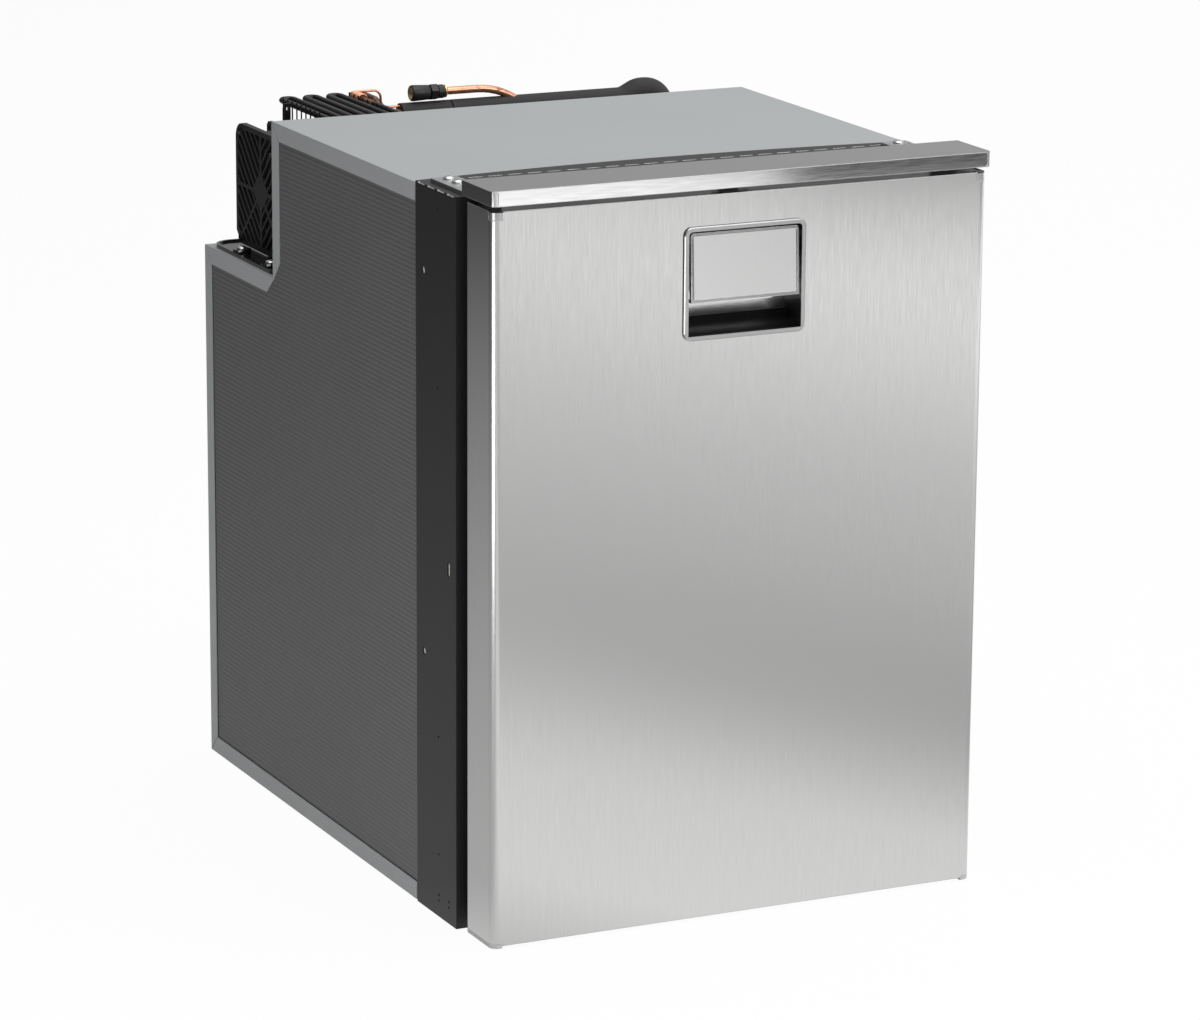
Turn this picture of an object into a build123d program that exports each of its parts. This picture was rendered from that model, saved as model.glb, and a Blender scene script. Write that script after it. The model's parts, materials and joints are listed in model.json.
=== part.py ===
"""A built-in drawer refrigerator: an insulated cabinet with its cooling unit on a rear ledge, and one
deep drawer on telescopic slides. Millimetres, X to the right, Y to the back, Z up. Sizes are first worked
out with the drawer's front face at y = 0, and every part is then moved so that the origin is under the
middle of the whole."""
from build123d import *
import os
from math import acos, asin, cos, pi, radians, sin, sqrt

os.makedirs("parts", exist_ok=True)

# Cabinet, outside
cabinet_width = 387.4
cabinet_height = 520.3
upper_depth = 265.7
ledge_depth = 139.6
ledge_drop = 117.4
sheet = 0.8
flange = 13.0
board = 4.0
seam_gap = 0.4
foot_length = 46.0
foot_width = 22.0

# Walls between the outside and the inside of the cabinet
side_wall = 35.5
floor_wall = 37.5
ceiling_wall = 37.5
ledge_wall = 41.5
upper_back_wall = 42.0
back_wall = 44.0
liner = 1.5
liner_lip = 12.0
liner_corner = 12.0
liner_bevel = 8.0

# Black front frame
frame_sheet = 1.2
frame_depth = 68.6
frame_width = cabinet_width - 0.8
frame_tongue = 13.0
mount_hole = 5.5
mount_hole_heights = (189.0, cabinet_height - 58.3)
mount_hole_back = 13.1
frame_slot_height = 258.1
frame_slot_front = 12.8
frame_slot_length = 10.6
frame_slot_width = 4.4
pilot_hole = 2.2
pilot_heights = (46.4, 132.7, cabinet_height - 136.6, cabinet_height - 11.1)
pilot_front = 30.4
low_pilot_heights = (12.0, 16.2)
fold_slot_length = 11.0
fold_slot_width = 2.4
fold_slot_pitch = 15.0
fold_slot_back = 5.6
side_fold_pitch = 16.6

# Drawer front
front_width = cabinet_width - 7.4
front_height = cabinet_height - 1.8
front_depth = 41.4
front_skin = 0.8
front_corner = 6.0
front_lift = 2.7
seal_gap = 11.9
cap_thickness = 3.4
cap_drop = 1.9
corner_piece = 8.0
inner_panel = 2.0
plinth_depth = 9.0
plinth_margin = 40.0
seal_width = 15.0
seal_margin = 7.0
seal_clear = 0.3

# Trim bar over the drawer
bar_width = front_width + 3.4
bar_height = 10.5
bar_depth = 50.0
bar_proud = 3.4
bar_sheet = 1.0
bar_corner = 4.5
bar_gap = 4.0
bar_lip = 9.0
bar_seam_width = 1.5
bar_seam_from_end = 4.0
bracket_width = 20.0
bracket_sheet = 2.6
bracket_reach = 66.0
bracket_from_centre = front_width / 2 - 14.0
bracket_screw_pitch = 15.0
bracket_screw = 4.0
screw_head = 7.8
screw_head_height = 2.4

# Handle
bezel_width = 93.5
bezel_height = 79.5
bezel_rim = 3.2
bezel_proud = 2.0
bezel_corner = 6.0
bezel_from_top = 21.6
handle_wall = 1.5
recess_depth = 21.0
scoop_depth = 26.0
scoop_top = 17.5
back_plate = 1.0
flap_height = 48.3
flap_gap = 1.4
flap_thickness = 3.0
flap_rim = 1.6
flap_slope = 2.3
flap_pin = 3.0
flap_pin_drop = 6.0
flap_pin_back = 4.2
arm_width = 10.0
arm_thickness = 4.0
flap_swing = 18.0

# Latch
bolt_width = 14.0
bolt_thickness = 6.0
bolt_rise = 2.4
latch_wall = 2.0
latch_clear = 0.3
latch_travel_room = 10.0
keeper_thickness = 1.2
spring_wire = 1.0
spring_turns = 5

# Slides
slide_length = 372.0
slide_height = 42.0
slide_centre = 214.0
slide_sheet = 1.4
slide_gap = 0.4
slide_thickness = 12.6

# Side frames and baskets of the drawer
side_frame_sheet = 2.0
side_frame_band = 14.0
side_frame_lip = 9.0
basket_wire = 2.4
basket_pitch = 28.0
basket_rim = 5.0
basket_clear = 0.8
lower_basket_depth = 392.0
lower_basket_drop = 184.0
upper_basket_depth = 258.0
upper_basket_drop = 86.0
upper_rail_height = 350.0

# Evaporator and thermostat
plate_thickness = 1.4
channel_width = 8.0
channel_rise = 2.4
plate_standoff = 5.0
plate_margin = 16.0
control_width = 96.0
control_depth = 62.0
control_height = 30.0
knob_radius = 13.0
knob_length = 11.0
knob_shaft = 3.0
knob_flutes = 12
lens_width = 40.0

# Cooling unit: tray, fan, condenser
tray_sheet = 1.5
tray_margin = 3.2
tray_length = cabinet_width - 87.4
tray_nose = 88.0
boss_radius = 7.0
boss_height = 3.6
tray_screw_pitch = 58.0
fan_size = 92.0
fan_thickness = 25.0
fan_bore = 88.0
fan_corner = 5.0
fan_hole = 4.3
fan_hole_pitch = 82.5
fan_wall = 3.6
fan_hub = 36.0
fan_blades = 7
fan_shaft = 2.5
guard_length = 100.0
guard_thickness = 2.5
guard_border = 4.0
guard_bar = 2.0
guard_pitch = 7.2
guard_diamond = 16.0
fan_lift = 3.6
fan_from_side = 20.7
fan_from_back = 14.2
coil_tube = 4.8
coil_run = 90.0
coil_rows = 5
coil_row_pitch = 22.0
coil_column_pitch = 9.6
coil_columns = 2 * round((cabinet_width - 329.8) / 2 / coil_column_pitch)
coil_drop = 5.0
coil_gap = 0.5
wire_thickness = 1.2
wire_pitch = 9.0
wire_over = 4.4

# Cooling unit: compressor, electronics, pipes
shell_length = 140.0
shell_depth = 104.0
shell_height = 74.0
shell_round = 24.0
shell_lip = 3.0
shell_from_side = 195.7
shell_lift = 12.0
shell_steps = 3
foot_pad_radius = 10.0
ears_length = 146.0
driver_width = 62.0
driver_depth = 74.0
driver_height = 42.0
driver_fins = 9
terminal_height = 12.0
drier_radius = 8.0
drier_length = 84.0
charge_pipe = 6.0
suction_pipe = 8.0
capillary = 2.0
suction_foam = 17.0
suction_from_back = 37.2
suction_drop = 21.0
suction_hump = 6.5
suction_end_from_side = 16.7
valve_cap_size = 12.5
valve_cap_length = 12.0
cap_grooves = 10
hairpin_turns = 5.25
loop_pitch = 2.6
lead = 2.0

# Number of flat sides of small, middle and large round parts, and the turn between the straight
# pieces of a bent tube
small_round = 8
middle_round = 16
large_round = 28
tube_turn = 60.0

# Planes and places that several parts share
half = cabinet_width / 2
frame_half = frame_width / 2
front_half = front_width / 2
frame_y0 = front_depth + seal_gap
frame_y1 = frame_y0 + frame_depth
upper_back = frame_y1 + upper_depth
lower_back = upper_back + ledge_depth
cabinet_z0 = frame_sheet
cabinet_z1 = cabinet_z0 + cabinet_height
frame_z1 = cabinet_z1 + frame_sheet
ledge_z = cabinet_z1 - ledge_drop
cavity_half = half - side_wall
cavity_y0 = frame_y0 + frame_sheet
cavity_z0 = cabinet_z0 + floor_wall
cavity_z1 = cabinet_z1 - ceiling_wall
cavity_ledge = ledge_z - ledge_wall
cavity_upper_back = upper_back - upper_back_wall
cavity_lower_back = lower_back - back_wall
cavity_middle = (cavity_z0 + cavity_z1) / 2
front_z0 = front_lift
front_z1 = front_z0 + front_height
front_middle = (front_z0 + front_z1) / 2
plinth_y = front_depth + plinth_depth
bar_half = bar_width / 2
bar_y0 = -bar_proud
bar_y1 = bar_y0 + bar_depth
bar_z0 = front_z1 + bar_gap
bar_z1 = bar_z0 + bar_height
bracket_y1 = bar_y1 + bracket_reach
bezel_middle = front_z1 - bezel_from_top - bezel_height / 2
recess_half = bezel_width / 2 - bezel_rim
recess_z0 = bezel_middle - bezel_height / 2 + bezel_rim
recess_z1 = bezel_middle + bezel_height / 2 - bezel_rim
plate_z0 = recess_z0 + scoop_top
flap_z1 = recess_z1 - flap_gap
flap_half = recess_half - flap_gap - flap_slope / 4
pin_y = flap_pin_back
pin_z = flap_z1 - flap_pin_drop
bolt_y0 = recess_depth + handle_wall + latch_wall + latch_clear
bolt_y1 = bolt_y0 + bolt_thickness
arm_length = (bolt_y0 + bolt_y1) / 2 - pin_y
bolt_z1 = front_z1 + bolt_rise
bolt_z0 = pin_z - arm_thickness * 2.2
spring_z0 = bolt_z0 - spring_turns * spring_wire - latch_travel_room * 1.8
spring_radius = (bolt_thickness - spring_wire) / 2 - 0.1
slide_y0 = cavity_y0 + 6
slide_y1 = slide_y0 + slide_length
side_frame_x = cavity_half - slide_thickness
basket_y0 = plinth_y + side_frame_band + 2 + basket_clear
lower_rail_z = slide_centre + slide_height / 2 + 2
tray_z = ledge_z + tray_sheet
guard_x = -(half - fan_from_side)
fan_x = guard_x + guard_thickness
fan_back_x = fan_x + fan_thickness
fan_y = lower_back - fan_from_back - guard_length / 2
fan_z = ledge_z + fan_lift + fan_size / 2
coil_x0 = fan_back_x + coil_gap + wire_thickness + coil_tube / 2
coil_x1 = coil_x0 + (coil_columns - 1) * coil_column_pitch
coil_z1 = cabinet_z1 - coil_drop
coil_z0 = coil_z1 - (coil_rows - 1) * coil_row_pitch
coil_y0 = upper_back + coil_row_pitch / 2 + coil_tube * 1.4
coil_y1 = coil_y0 + coil_run
shell_z0 = tray_z + shell_lift
shell_y = upper_back + 6 + shell_depth / 2
shell_x = half - shell_from_side
crossing_y = upper_back + coil_tube * 0.7
hairpin_y = lower_back - suction_from_back + 6
discharge_y = shell_y + shell_depth * 0.23
discharge_z = shell_z0 + shell_height * 0.37
suction_y = lower_back - suction_from_back
suction_z = cabinet_z1 - suction_drop
loop_radius = coil_tube * 0.58 + capillary / 2 + 0.1
suction_x1 = half - suction_end_from_side
suction_x0 = shell_x - shell_length * 0.45
hose_x0 = suction_x0 + 18
suction_stub_y = suction_y - suction_pipe * 1.25
drier_y = lower_back - drier_radius * 2
drier_z = coil_z0
drier_x0 = shell_x - shell_length * 0.41
driver_x0 = tray_length - half + tray_margin + 4
driver_y0 = upper_back + driver_depth * 0.17
lead_y = drier_y - 6
valve_x1 = shell_x - charge_pipe
valve_z = coil_z1 - 0.5
middle_y = (bar_y0 + lower_back) / 2


def span_box(x0, x1, y0, y1, z0, z1):
    """A block between two opposite corners."""
    centre = Pos((x0 + x1) / 2, (y0 + y1) / 2, (z0 + z1) / 2)
    return centre * Box(x1 - x0, y1 - y0, z1 - z0)


def side_prism(points, x0, x1):
    """A solid with an outline in side view, points (y, z), that runs from x0 to x1."""
    outline = make_face(Plane.YZ.offset(x0) * Polyline(*points, close=True))
    return extrude(outline, x1 - x0, dir=(1, 0, 0))


def plan_prism(sketch, z0, z1):
    """A solid with an outline seen from above that runs from z0 to z1."""
    return extrude(Pos(0, 0, z0) * sketch, z1 - z0, dir=(0, 0, 1))


def front_prism(sketch, y0, y1):
    """A solid with an outline seen from the front, (x, z), that runs from y0 to y1."""
    return extrude(Plane.XZ.offset(-y0) * sketch, y1 - y0, dir=(0, 1, 0))


def side_sketch_prism(sketch, x0, x1):
    """A solid with a sketch in side view, (y, z), that runs from x0 to x1."""
    return extrude(Plane.YZ.offset(x0) * sketch, x1 - x0, dir=(1, 0, 0))


def both_sides(part):
    """The part and its mirror image across the middle plane."""
    return part + mirror(part, Plane.YZ)


def group(parts):
    """Separate solids that share one node."""
    return Compound([solid for part in parts for solid in part.solids()])


def rounded_front(half_width, y0, y1, radius):
    """Plan outline with two rounded corners at the front and square ones at the back."""
    outline = Pos(0, (y0 + y1) / 2) * Rectangle(2 * half_width, y1 - y0)
    front_corners = outline.vertices().sort_by(Axis.Y)[:2]
    return fillet(front_corners, radius)


# Cabinet


def cabinet_outline(inset, y_front):
    """Side view of the cabinet with its rear ledge, all walls moved in by inset."""
    return [
        (y_front, cabinet_z0 + inset),
        (lower_back - inset, cabinet_z0 + inset),
        (lower_back - inset, ledge_z - inset),
        (upper_back - inset, ledge_z - inset),
        (upper_back - inset, cabinet_z1 - inset),
        (y_front, cabinet_z1 - inset),
    ]


def cavity_outline(outset, y_front):
    """Side view of the cold space, all walls moved out by outset."""
    return [
        (y_front, cavity_z0 - outset),
        (cavity_lower_back + outset, cavity_z0 - outset),
        (cavity_lower_back + outset, cavity_ledge + outset),
        (cavity_upper_back + outset, cavity_ledge + outset),
        (cavity_upper_back + outset, cavity_z1 + outset),
        (y_front, cavity_z1 + outset),
    ]


def mitre_slit(corner_y, corner_z, turn_y, turn_z):
    """Side outline of the open 45 degree joint between two flanges at an outer corner."""
    start, end, side = sheet * 1.5, flange + 1, seam_gap / 2
    return [
        (corner_y + turn_y * start + side, corner_z + turn_z * start + side * turn_y * -turn_z),
        (corner_y + turn_y * start - side, corner_z + turn_z * start - side * turn_y * -turn_z),
        (corner_y + turn_y * end - side, corner_z + turn_z * end - side * turn_y * -turn_z),
        (corner_y + turn_y * end + side, corner_z + turn_z * end + side * turn_y * -turn_z),
    ]


def cabinet_wrap():
    """One sheet folded round floor, back, ledge and top, with flanges turned down on both sides."""
    wrap = side_prism(cabinet_outline(0, cavity_y0), -half, half)
    wrap -= side_prism(cabinet_outline(sheet, cavity_y0 - 1), sheet - half, half - sheet)
    wrap -= side_prism(cabinet_outline(flange, cavity_y0 - 1), -half - 1, half + 1)
    relief = [
        (upper_back - sheet, ledge_z - sheet),
        (upper_back + flange, ledge_z - flange),
        (upper_back - flange, ledge_z - flange),
        (upper_back - flange, ledge_z + flange),
    ]
    slits = [
        mitre_slit(lower_back, cabinet_z0, -1, 1),
        mitre_slit(lower_back, ledge_z, -1, -1),
        mitre_slit(upper_back, cabinet_z1, -1, -1),
    ]
    inner_half = frame_half - frame_sheet
    for outline in [relief] + slits:
        wrap -= side_prism(outline, half - sheet, half + 1)
        wrap -= side_prism(outline, -half - 1, sheet - half)
    for x0, x1 in ((-half - 1, -inner_half), (inner_half, half + 1)):
        wrap -= span_box(x0, x1, cavity_y0 - 1, frame_y1 + seam_gap, cabinet_z0 - 1, cabinet_z1 + 1)
    foot = RectangleRounded(foot_length, foot_width, foot_width / 3)
    place = Pos(half - foot_length, lower_back - 2 * foot_width)
    return wrap + both_sides(plan_prism(place * foot, 0, cabinet_z0 + sheet / 2))


def side_board():
    """Twin-wall board that closes the right side behind the flanges."""
    inset = sheet + seam_gap / 2
    outline = cabinet_outline(inset, frame_y1 + seam_gap)
    return side_prism(outline, half - sheet - board, half - sheet)


def cavity_block(outset, y_front):
    """The cold space as a block with rounded corners, bevelled back edges and an open front."""
    width = cavity_half + outset
    block = side_prism(cavity_outline(outset, y_front), -width, width)
    block = fillet(block.edges().filter_by(Axis.Y), liner_corner + outset)
    back = block.faces().sort_by(Axis.Y)[-1]
    return chamfer(back.edges(), liner_bevel + outset / 2)


def opening_sketch(outset, radius):
    """Front view of the cabinet's mouth, grown by outset."""
    width = 2 * (cavity_half + outset)
    height = cavity_z1 - cavity_z0 + 2 * outset
    return Pos(0, cavity_middle) * RectangleRounded(width, height, radius)


def insulation():
    """Foam between the outer skins and the liner."""
    core_half = half - sheet - board
    inner_half = frame_half - frame_sheet
    foam = side_prism(cabinet_outline(sheet, cavity_y0), -core_half, core_half)
    foam += span_box(-inner_half, inner_half, cavity_y0, frame_y1, cabinet_z0 + sheet, cabinet_z1 - sheet)
    foam -= cavity_block(liner, cavity_y0)
    lip = liner + liner_lip
    return foam - front_prism(opening_sketch(lip, liner_corner + lip), cavity_y0, cavity_y0 + liner)


def inner_liner():
    """Moulded tub with a lip that lies behind the front frame."""
    lip = liner + liner_lip
    tub = cavity_block(liner, cavity_y0)
    tub += front_prism(opening_sketch(lip, liner_corner + lip), cavity_y0, cavity_y0 + liner)
    return tub - cavity_block(0, cavity_y0 - 2)


# Front frame


def fold_slots():
    """The row of punched slots along the fold at the back of the frame's top."""
    count = int((frame_width - 2 * fold_slot_pitch - 4 * flange / 2) / fold_slot_pitch) + 1
    first = -(count - 1) / 2 * fold_slot_pitch
    row_y = frame_y1 - fold_slot_back
    slot = Rectangle(fold_slot_length, fold_slot_width)
    return [Pos(first + n * fold_slot_pitch, row_y) * slot for n in range(count)]


def frame_side_cuts():
    """Side view of all holes in the frame's side walls."""
    pilot = RegularPolygon(pilot_hole / 2, small_round)
    cuts = [Pos(frame_y1 - mount_hole_back, z) * Circle(mount_hole / 2) for z in mount_hole_heights]
    cuts += [Pos(frame_y0 + pilot_front, z) * pilot for z in pilot_heights]
    for y in (frame_slot_front, pilot_front):
        cuts += [Pos(frame_y0 + y, z) * pilot for z in low_pilot_heights]
    slot = Rot(0, 0, 90) * SlotOverall(frame_slot_length, frame_slot_width)
    cuts.append(Pos(frame_y0 + frame_slot_front, frame_slot_height) * slot)
    return cuts


def front_frame():
    """Folded black frame: face with the mouth, side walls with holes, top with a bowed tongue behind."""
    frame = span_box(-frame_half, frame_half, frame_y0, frame_y1, 0, frame_z1)
    inner = frame_half - frame_sheet
    frame -= span_box(-inner, inner, cavity_y0, frame_y1 + 1, cabinet_z0, cabinet_z1)
    frame -= front_prism(opening_sketch(0, liner_corner), frame_y0 - 1, cavity_y0 + 1)
    back = frame_y1 + frame_tongue
    bow = ThreePointArc((-frame_half, frame_y1), (0, back), (frame_half, frame_y1))
    base = Line((frame_half, frame_y1), (-frame_half, frame_y1))
    tongue = plan_prism(make_face([bow, base]), cabinet_z1, frame_z1)
    frame += tongue
    for slot in fold_slots():
        frame -= plan_prism(slot, cabinet_z1 - 0.1, frame_z1 + 1)
    for cut in frame_side_cuts():
        frame -= side_sketch_prism(cut, -half, half)
    nick = frame_sheet * 0.75
    for n in range(4):
        y0 = frame_y1 - 4.6 - fold_slot_length - n * side_fold_pitch
        y1 = y0 + fold_slot_length
        notch = span_box(frame_half - nick, half + 1, y0, y1, frame_z1 - nick, frame_z1 + 1)
        frame -= both_sides(notch)
    hole = plan_prism(RegularPolygon(bracket_screw / 2, small_round), cabinet_z1 - 1, frame_z1 + 1)
    return frame - [Pos(x, y, 0) * hole for x, y in bracket_screw_places()]


# Trim bar


def trim_bar():
    """Hollow bar of folded sheet, open behind, with a seam near each rounded front corner."""
    outer = rounded_front(bar_half, bar_y0, bar_y1, bar_corner)
    inner = rounded_front(bar_half - bar_sheet, bar_y0 + bar_sheet, bar_y1 + 1, bar_corner - bar_sheet)
    bar = plan_prism(outer, bar_z0, bar_z1)
    bar -= plan_prism(inner, bar_z0 + bar_sheet, bar_z1 - bar_sheet)
    inside = bar_half - bar_sheet
    bar -= span_box(-inside, inside, bar_y0 + bar_lip, bar_y1 + 1, bar_z0 - 1, bar_z0 + 2 * bar_sheet)
    seam_x = bar_half - bar_seam_from_end
    seam = span_box(
        seam_x - bar_seam_width / 2,
        seam_x + bar_seam_width / 2,
        bar_y0 - 1,
        bar_y0 + bar_sheet * 0.7,
        bar_z0 + bar_sheet,
        bar_z1 - bar_sheet,
    )
    return bar - both_sides(seam)


def bracket_screw_places():
    """Middles of the four screws that hold the bar's brackets to the frame's top."""
    ys = [bracket_y1 - bracket_width * 0.4 - n * bracket_screw_pitch for n in range(2)]
    return [(x, y) for x in (-bracket_from_centre, bracket_from_centre) for y in ys]


def bar_bracket():
    """Stepped strap, right side: lies on the frame's top and rises into the bar."""
    rise_y = bar_y1 - bar_lip
    under = bar_z1 - bar_sheet
    front = bar_y0 + bar_lip
    outline = [
        (bracket_y1, frame_z1),
        (bracket_y1, frame_z1 + bracket_sheet),
        (rise_y + bracket_sheet, frame_z1 + bracket_sheet),
        (rise_y + bracket_sheet, under),
        (front, under),
        (front, under - bracket_sheet),
        (rise_y, under - bracket_sheet),
        (rise_y, frame_z1),
    ]
    reach = bracket_width / 2
    strap = side_prism(outline, bracket_from_centre - reach, bracket_from_centre + reach)
    hole = plan_prism(RegularPolygon(bracket_screw / 2, small_round), frame_z1 - 1, bar_z1)
    return strap - [Pos(x, y, 0) * hole for x, y in bracket_screw_places()]


def round_stack(steps, sides):
    """A turned part about Z in flat faces, through steps of (radius, height) from low to high."""
    return loft([Pos(0, 0, z) * RegularPolygon(radius, sides) for radius, z in steps], ruled=True)


def dome_screw(head_diameter, head_height, shank_diameter, shank_length):
    """Dome head screw; its seat is at z = 0 and its shank points down."""
    radius = head_diameter / 2
    dome = [(1.0, 0), (0.88, 0.5), (0.45, 1.0)]
    screw = round_stack([(radius * r, head_height * z) for r, z in dome], small_round)
    return screw + plan_prism(RegularPolygon(shank_diameter / 2, 6), -shank_length, 0)


def bar_screws():
    """The four screws of the bar's brackets."""
    screw = dome_screw(screw_head, screw_head_height, bracket_screw * 0.9, bracket_sheet + frame_sheet)
    return group([Pos(x, y, frame_z1 + bracket_sheet) * screw for x, y in bracket_screw_places()])


def latch_keeper():
    """Hanging plate inside the bar, in front of which the latch bolt stands."""
    back = bolt_y0 - latch_clear
    under = bar_z1 - bar_sheet
    low = bolt_z1 + latch_clear
    outline = [
        (bar_y0 + bar_lip, under),
        (bar_y0 + bar_lip, under - keeper_thickness),
        (back - keeper_thickness, under - keeper_thickness),
        (back - keeper_thickness, low),
        (back, low),
        (back, under),
    ]
    return side_prism(outline, -bolt_width, bolt_width)


# Drawer front


def front_outline(inset):
    """Plan of the drawer front with rounded vertical edges, sides and face moved in by inset."""
    return rounded_front(front_half - inset, inset, front_depth, front_corner - inset)


def handle_sketch(outset, radius):
    """Front view of the handle's opening grown by outset."""
    width = 2 * (recess_half + outset)
    height = recess_z1 - recess_z0 + 2 * outset
    return Pos(0, bezel_middle) * RectangleRounded(width, height, radius)


def cap_rail_top():
    """Height at which the lower cap meets the sides of the skin."""
    return front_z0 - cap_drop + cap_thickness


def front_ends(z0, z1, depth):
    """The outline's two ends, as deep as the rounded corner piece or the whole side."""
    inside = front_half - corner_piece
    ends = plan_prism(front_outline(0), z0, z1)
    ends -= span_box(-inside, inside, -1, front_depth + 1, z0 - 1, z1 + 1)
    return ends & span_box(-front_half, front_half, -1, depth, z0 - 1, z1 + 1)


def drawer_skin():
    """Brushed sheet folded round the drawer's face and sides, with corner cut-outs for the end caps."""
    skin = plan_prism(front_outline(0), front_z0, front_z1)
    inner = rounded_front(front_half - front_skin, front_skin, front_depth + 1, front_corner - front_skin)
    skin -= plan_prism(inner, front_z0 - 1, front_z1 + 1)
    skin -= front_ends(front_z0 - 1, cap_rail_top(), front_depth + 1)
    skin -= front_ends(front_z1 - front_corner, front_z1 + 1, front_corner)
    return skin - front_prism(handle_sketch(handle_wall, bezel_corner - handle_wall), -1, front_skin + 1)


def bottom_cap():
    """Moulded end cap: a plate inside the skin and two rails that show under its sides."""
    rail_z = cap_rail_top()
    plate = plan_prism(front_outline(front_skin), front_z0, rail_z)
    rails = front_ends(front_z0 - cap_drop, rail_z, front_depth)
    low_edges = rails.edges().filter_by(lambda edge: edge.center().Z < front_z0 - cap_drop + 0.01)
    outer_edges = [edge for edge in low_edges if abs(edge.center().X) > front_half - corner_piece + 0.5]
    return plate + fillet(outer_edges, cap_drop / 2)


def top_cap():
    """Moulded end cap at the top with its two rounded corner pieces and the latch bolt's slot."""
    plate = plan_prism(front_outline(front_skin), front_z1 - cap_thickness, front_z1 - cap_drop / 3)
    plate += front_ends(front_z1 - front_corner, front_z1, front_corner)
    reach = bolt_width / 2 + latch_clear
    return plate - span_box(
        -reach, reach, bolt_y0 - latch_clear, bolt_y1 + latch_clear, front_z1 - front_corner, front_z1 + 1
    )


def plinth_sketch(inset):
    """Front view of the raised middle of the drawer's inner panel."""
    margin = plinth_margin + inset
    width = front_width - 2 * margin
    height = front_height - 2 * margin
    return Pos(0, front_middle) * RectangleRounded(width, height, liner_corner + inner_panel - inset)


def inner_panel_part():
    """Moulded panel on the drawer's cold side with a hollow raised middle."""
    plate_half = front_half - front_skin
    low, high = cap_rail_top(), front_z1 - cap_thickness
    panel = span_box(-plate_half, plate_half, front_depth - inner_panel, front_depth, low, high)
    panel_y = front_depth - inner_panel
    panel += front_prism(plinth_sketch(0), panel_y, plinth_y)
    return panel - front_prism(plinth_sketch(inner_panel), panel_y - 1, plinth_y - inner_panel)


def drawer_foam():
    """Foam that fills the drawer front round the handle and the latch."""
    low, high = cap_rail_top(), front_z1 - cap_thickness
    foam = plan_prism(front_outline(front_skin), low, high)
    foam -= span_box(-front_half, front_half, front_depth - inner_panel, front_depth + 1, low - 1, high + 1)
    foam += front_prism(plinth_sketch(inner_panel), front_depth - inner_panel, plinth_y - inner_panel)
    foam -= front_ends(high - front_corner, high + 1, front_corner)
    foam -= handle_block()
    return foam - latch_block()


def door_seal():
    """Magnetic seal: foot, narrow bellows and magnet strip, all round the drawer's back."""
    width = front_width - 2 * seal_margin
    height = front_height - 2 * seal_margin
    back = frame_y0 - seal_clear
    length = back - front_depth
    seal = None
    for low, high, inset in ((0, 0.25, 0), (0.25, 0.7, 0.2), (0.7, 1, 0)):
        edge = seal_width * inset
        ring = RectangleRounded(width - 2 * edge, height - 2 * edge, liner_corner)
        ring -= Rectangle(width - 2 * (seal_width - edge), height - 2 * (seal_width - edge))
        y0, y1 = front_depth + low * length, front_depth + high * length
        layer = front_prism(Pos(0, front_middle) * ring, y0, y1)
        seal = layer if seal is None else seal + layer
    return seal


# Handle and latch


def scoop_outline(outset):
    """Side view of the curved finger scoop under the flap, grown by outset."""
    low = recess_z0 - outset
    back = scoop_depth + outset
    top = plate_z0 + outset
    start = Line((-bezel_proud - 1, top), (-bezel_proud - 1, low))
    floor = Line((-bezel_proud - 1, low), (bezel_rim, low))
    bulge = (back - 0.3 * (back - bezel_rim), low + 0.3 * (top - low))
    curve = ThreePointArc((bezel_rim, low), bulge, (back, top))
    return make_face([start, floor, curve, Line((back, top), (-bezel_proud - 1, top))])


def handle_block():
    """Everything that the handle's moulded tub fills behind the drawer's face."""
    tub = handle_sketch(handle_wall, bezel_corner - handle_wall)
    block = front_prism(tub, 0, recess_depth + handle_wall)
    reach = recess_half + handle_wall
    scoop = side_sketch_prism(scoop_outline(handle_wall), -reach, reach)
    low = recess_z0 - handle_wall
    scoop &= span_box(-reach, reach, front_skin, scoop_depth + 2 * handle_wall, low, recess_z1)
    return block + scoop


def latch_block():
    """Everything that the latch's guide fills behind the handle."""
    reach = bolt_width / 2 + latch_clear + latch_wall
    y0 = recess_depth + handle_wall
    y1 = bolt_y1 + latch_clear + latch_wall
    return span_box(-reach, reach, y0, y1, spring_z0 - latch_wall, front_z1 - cap_thickness)


def arm_window(y0, y1):
    """The way of the flap's arm through a wall."""
    reach = arm_width / 2 + latch_clear
    drop = arm_length * sin(radians(flap_swing)) + arm_thickness
    return span_box(-reach, reach, y0, y1, pin_z - drop, pin_z + arm_thickness)


def handle_bezel():
    """Rim on the drawer's face and the tub behind it, with the curved scoop and the flap's pin holes."""
    outline = Pos(0, bezel_middle) * RectangleRounded(bezel_width, bezel_height, bezel_corner)
    rim = front_prism(outline, -bezel_proud, 0)
    rim_edges = rim.faces().sort_by(Axis.Y)[0].edges()
    bezel = chamfer(rim_edges, bezel_proud * 0.3) + handle_block()
    inner_corner = bezel_corner - bezel_rim
    bezel -= front_prism(handle_sketch(0, inner_corner), -bezel_proud - 1, bezel_rim)
    bezel -= span_box(-recess_half, recess_half, 0, recess_depth, plate_z0, recess_z1)
    bezel -= side_sketch_prism(scoop_outline(0), -recess_half, recess_half)
    bezel -= side_sketch_prism(Pos(pin_y, pin_z) * Circle(flap_pin / 2 + 0.05), -front_half, front_half)
    return bezel - arm_window(recess_depth - 1, recess_depth + handle_wall + 1)


def handle_back_plate():
    """Bright plate on the back wall of the recess."""
    reach = recess_half - latch_clear
    y0, z1 = recess_depth - back_plate, recess_z1 - latch_clear
    plate = span_box(-reach, reach, y0, recess_depth, plate_z0, z1)
    return plate - arm_window(0, recess_depth + 1)


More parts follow.
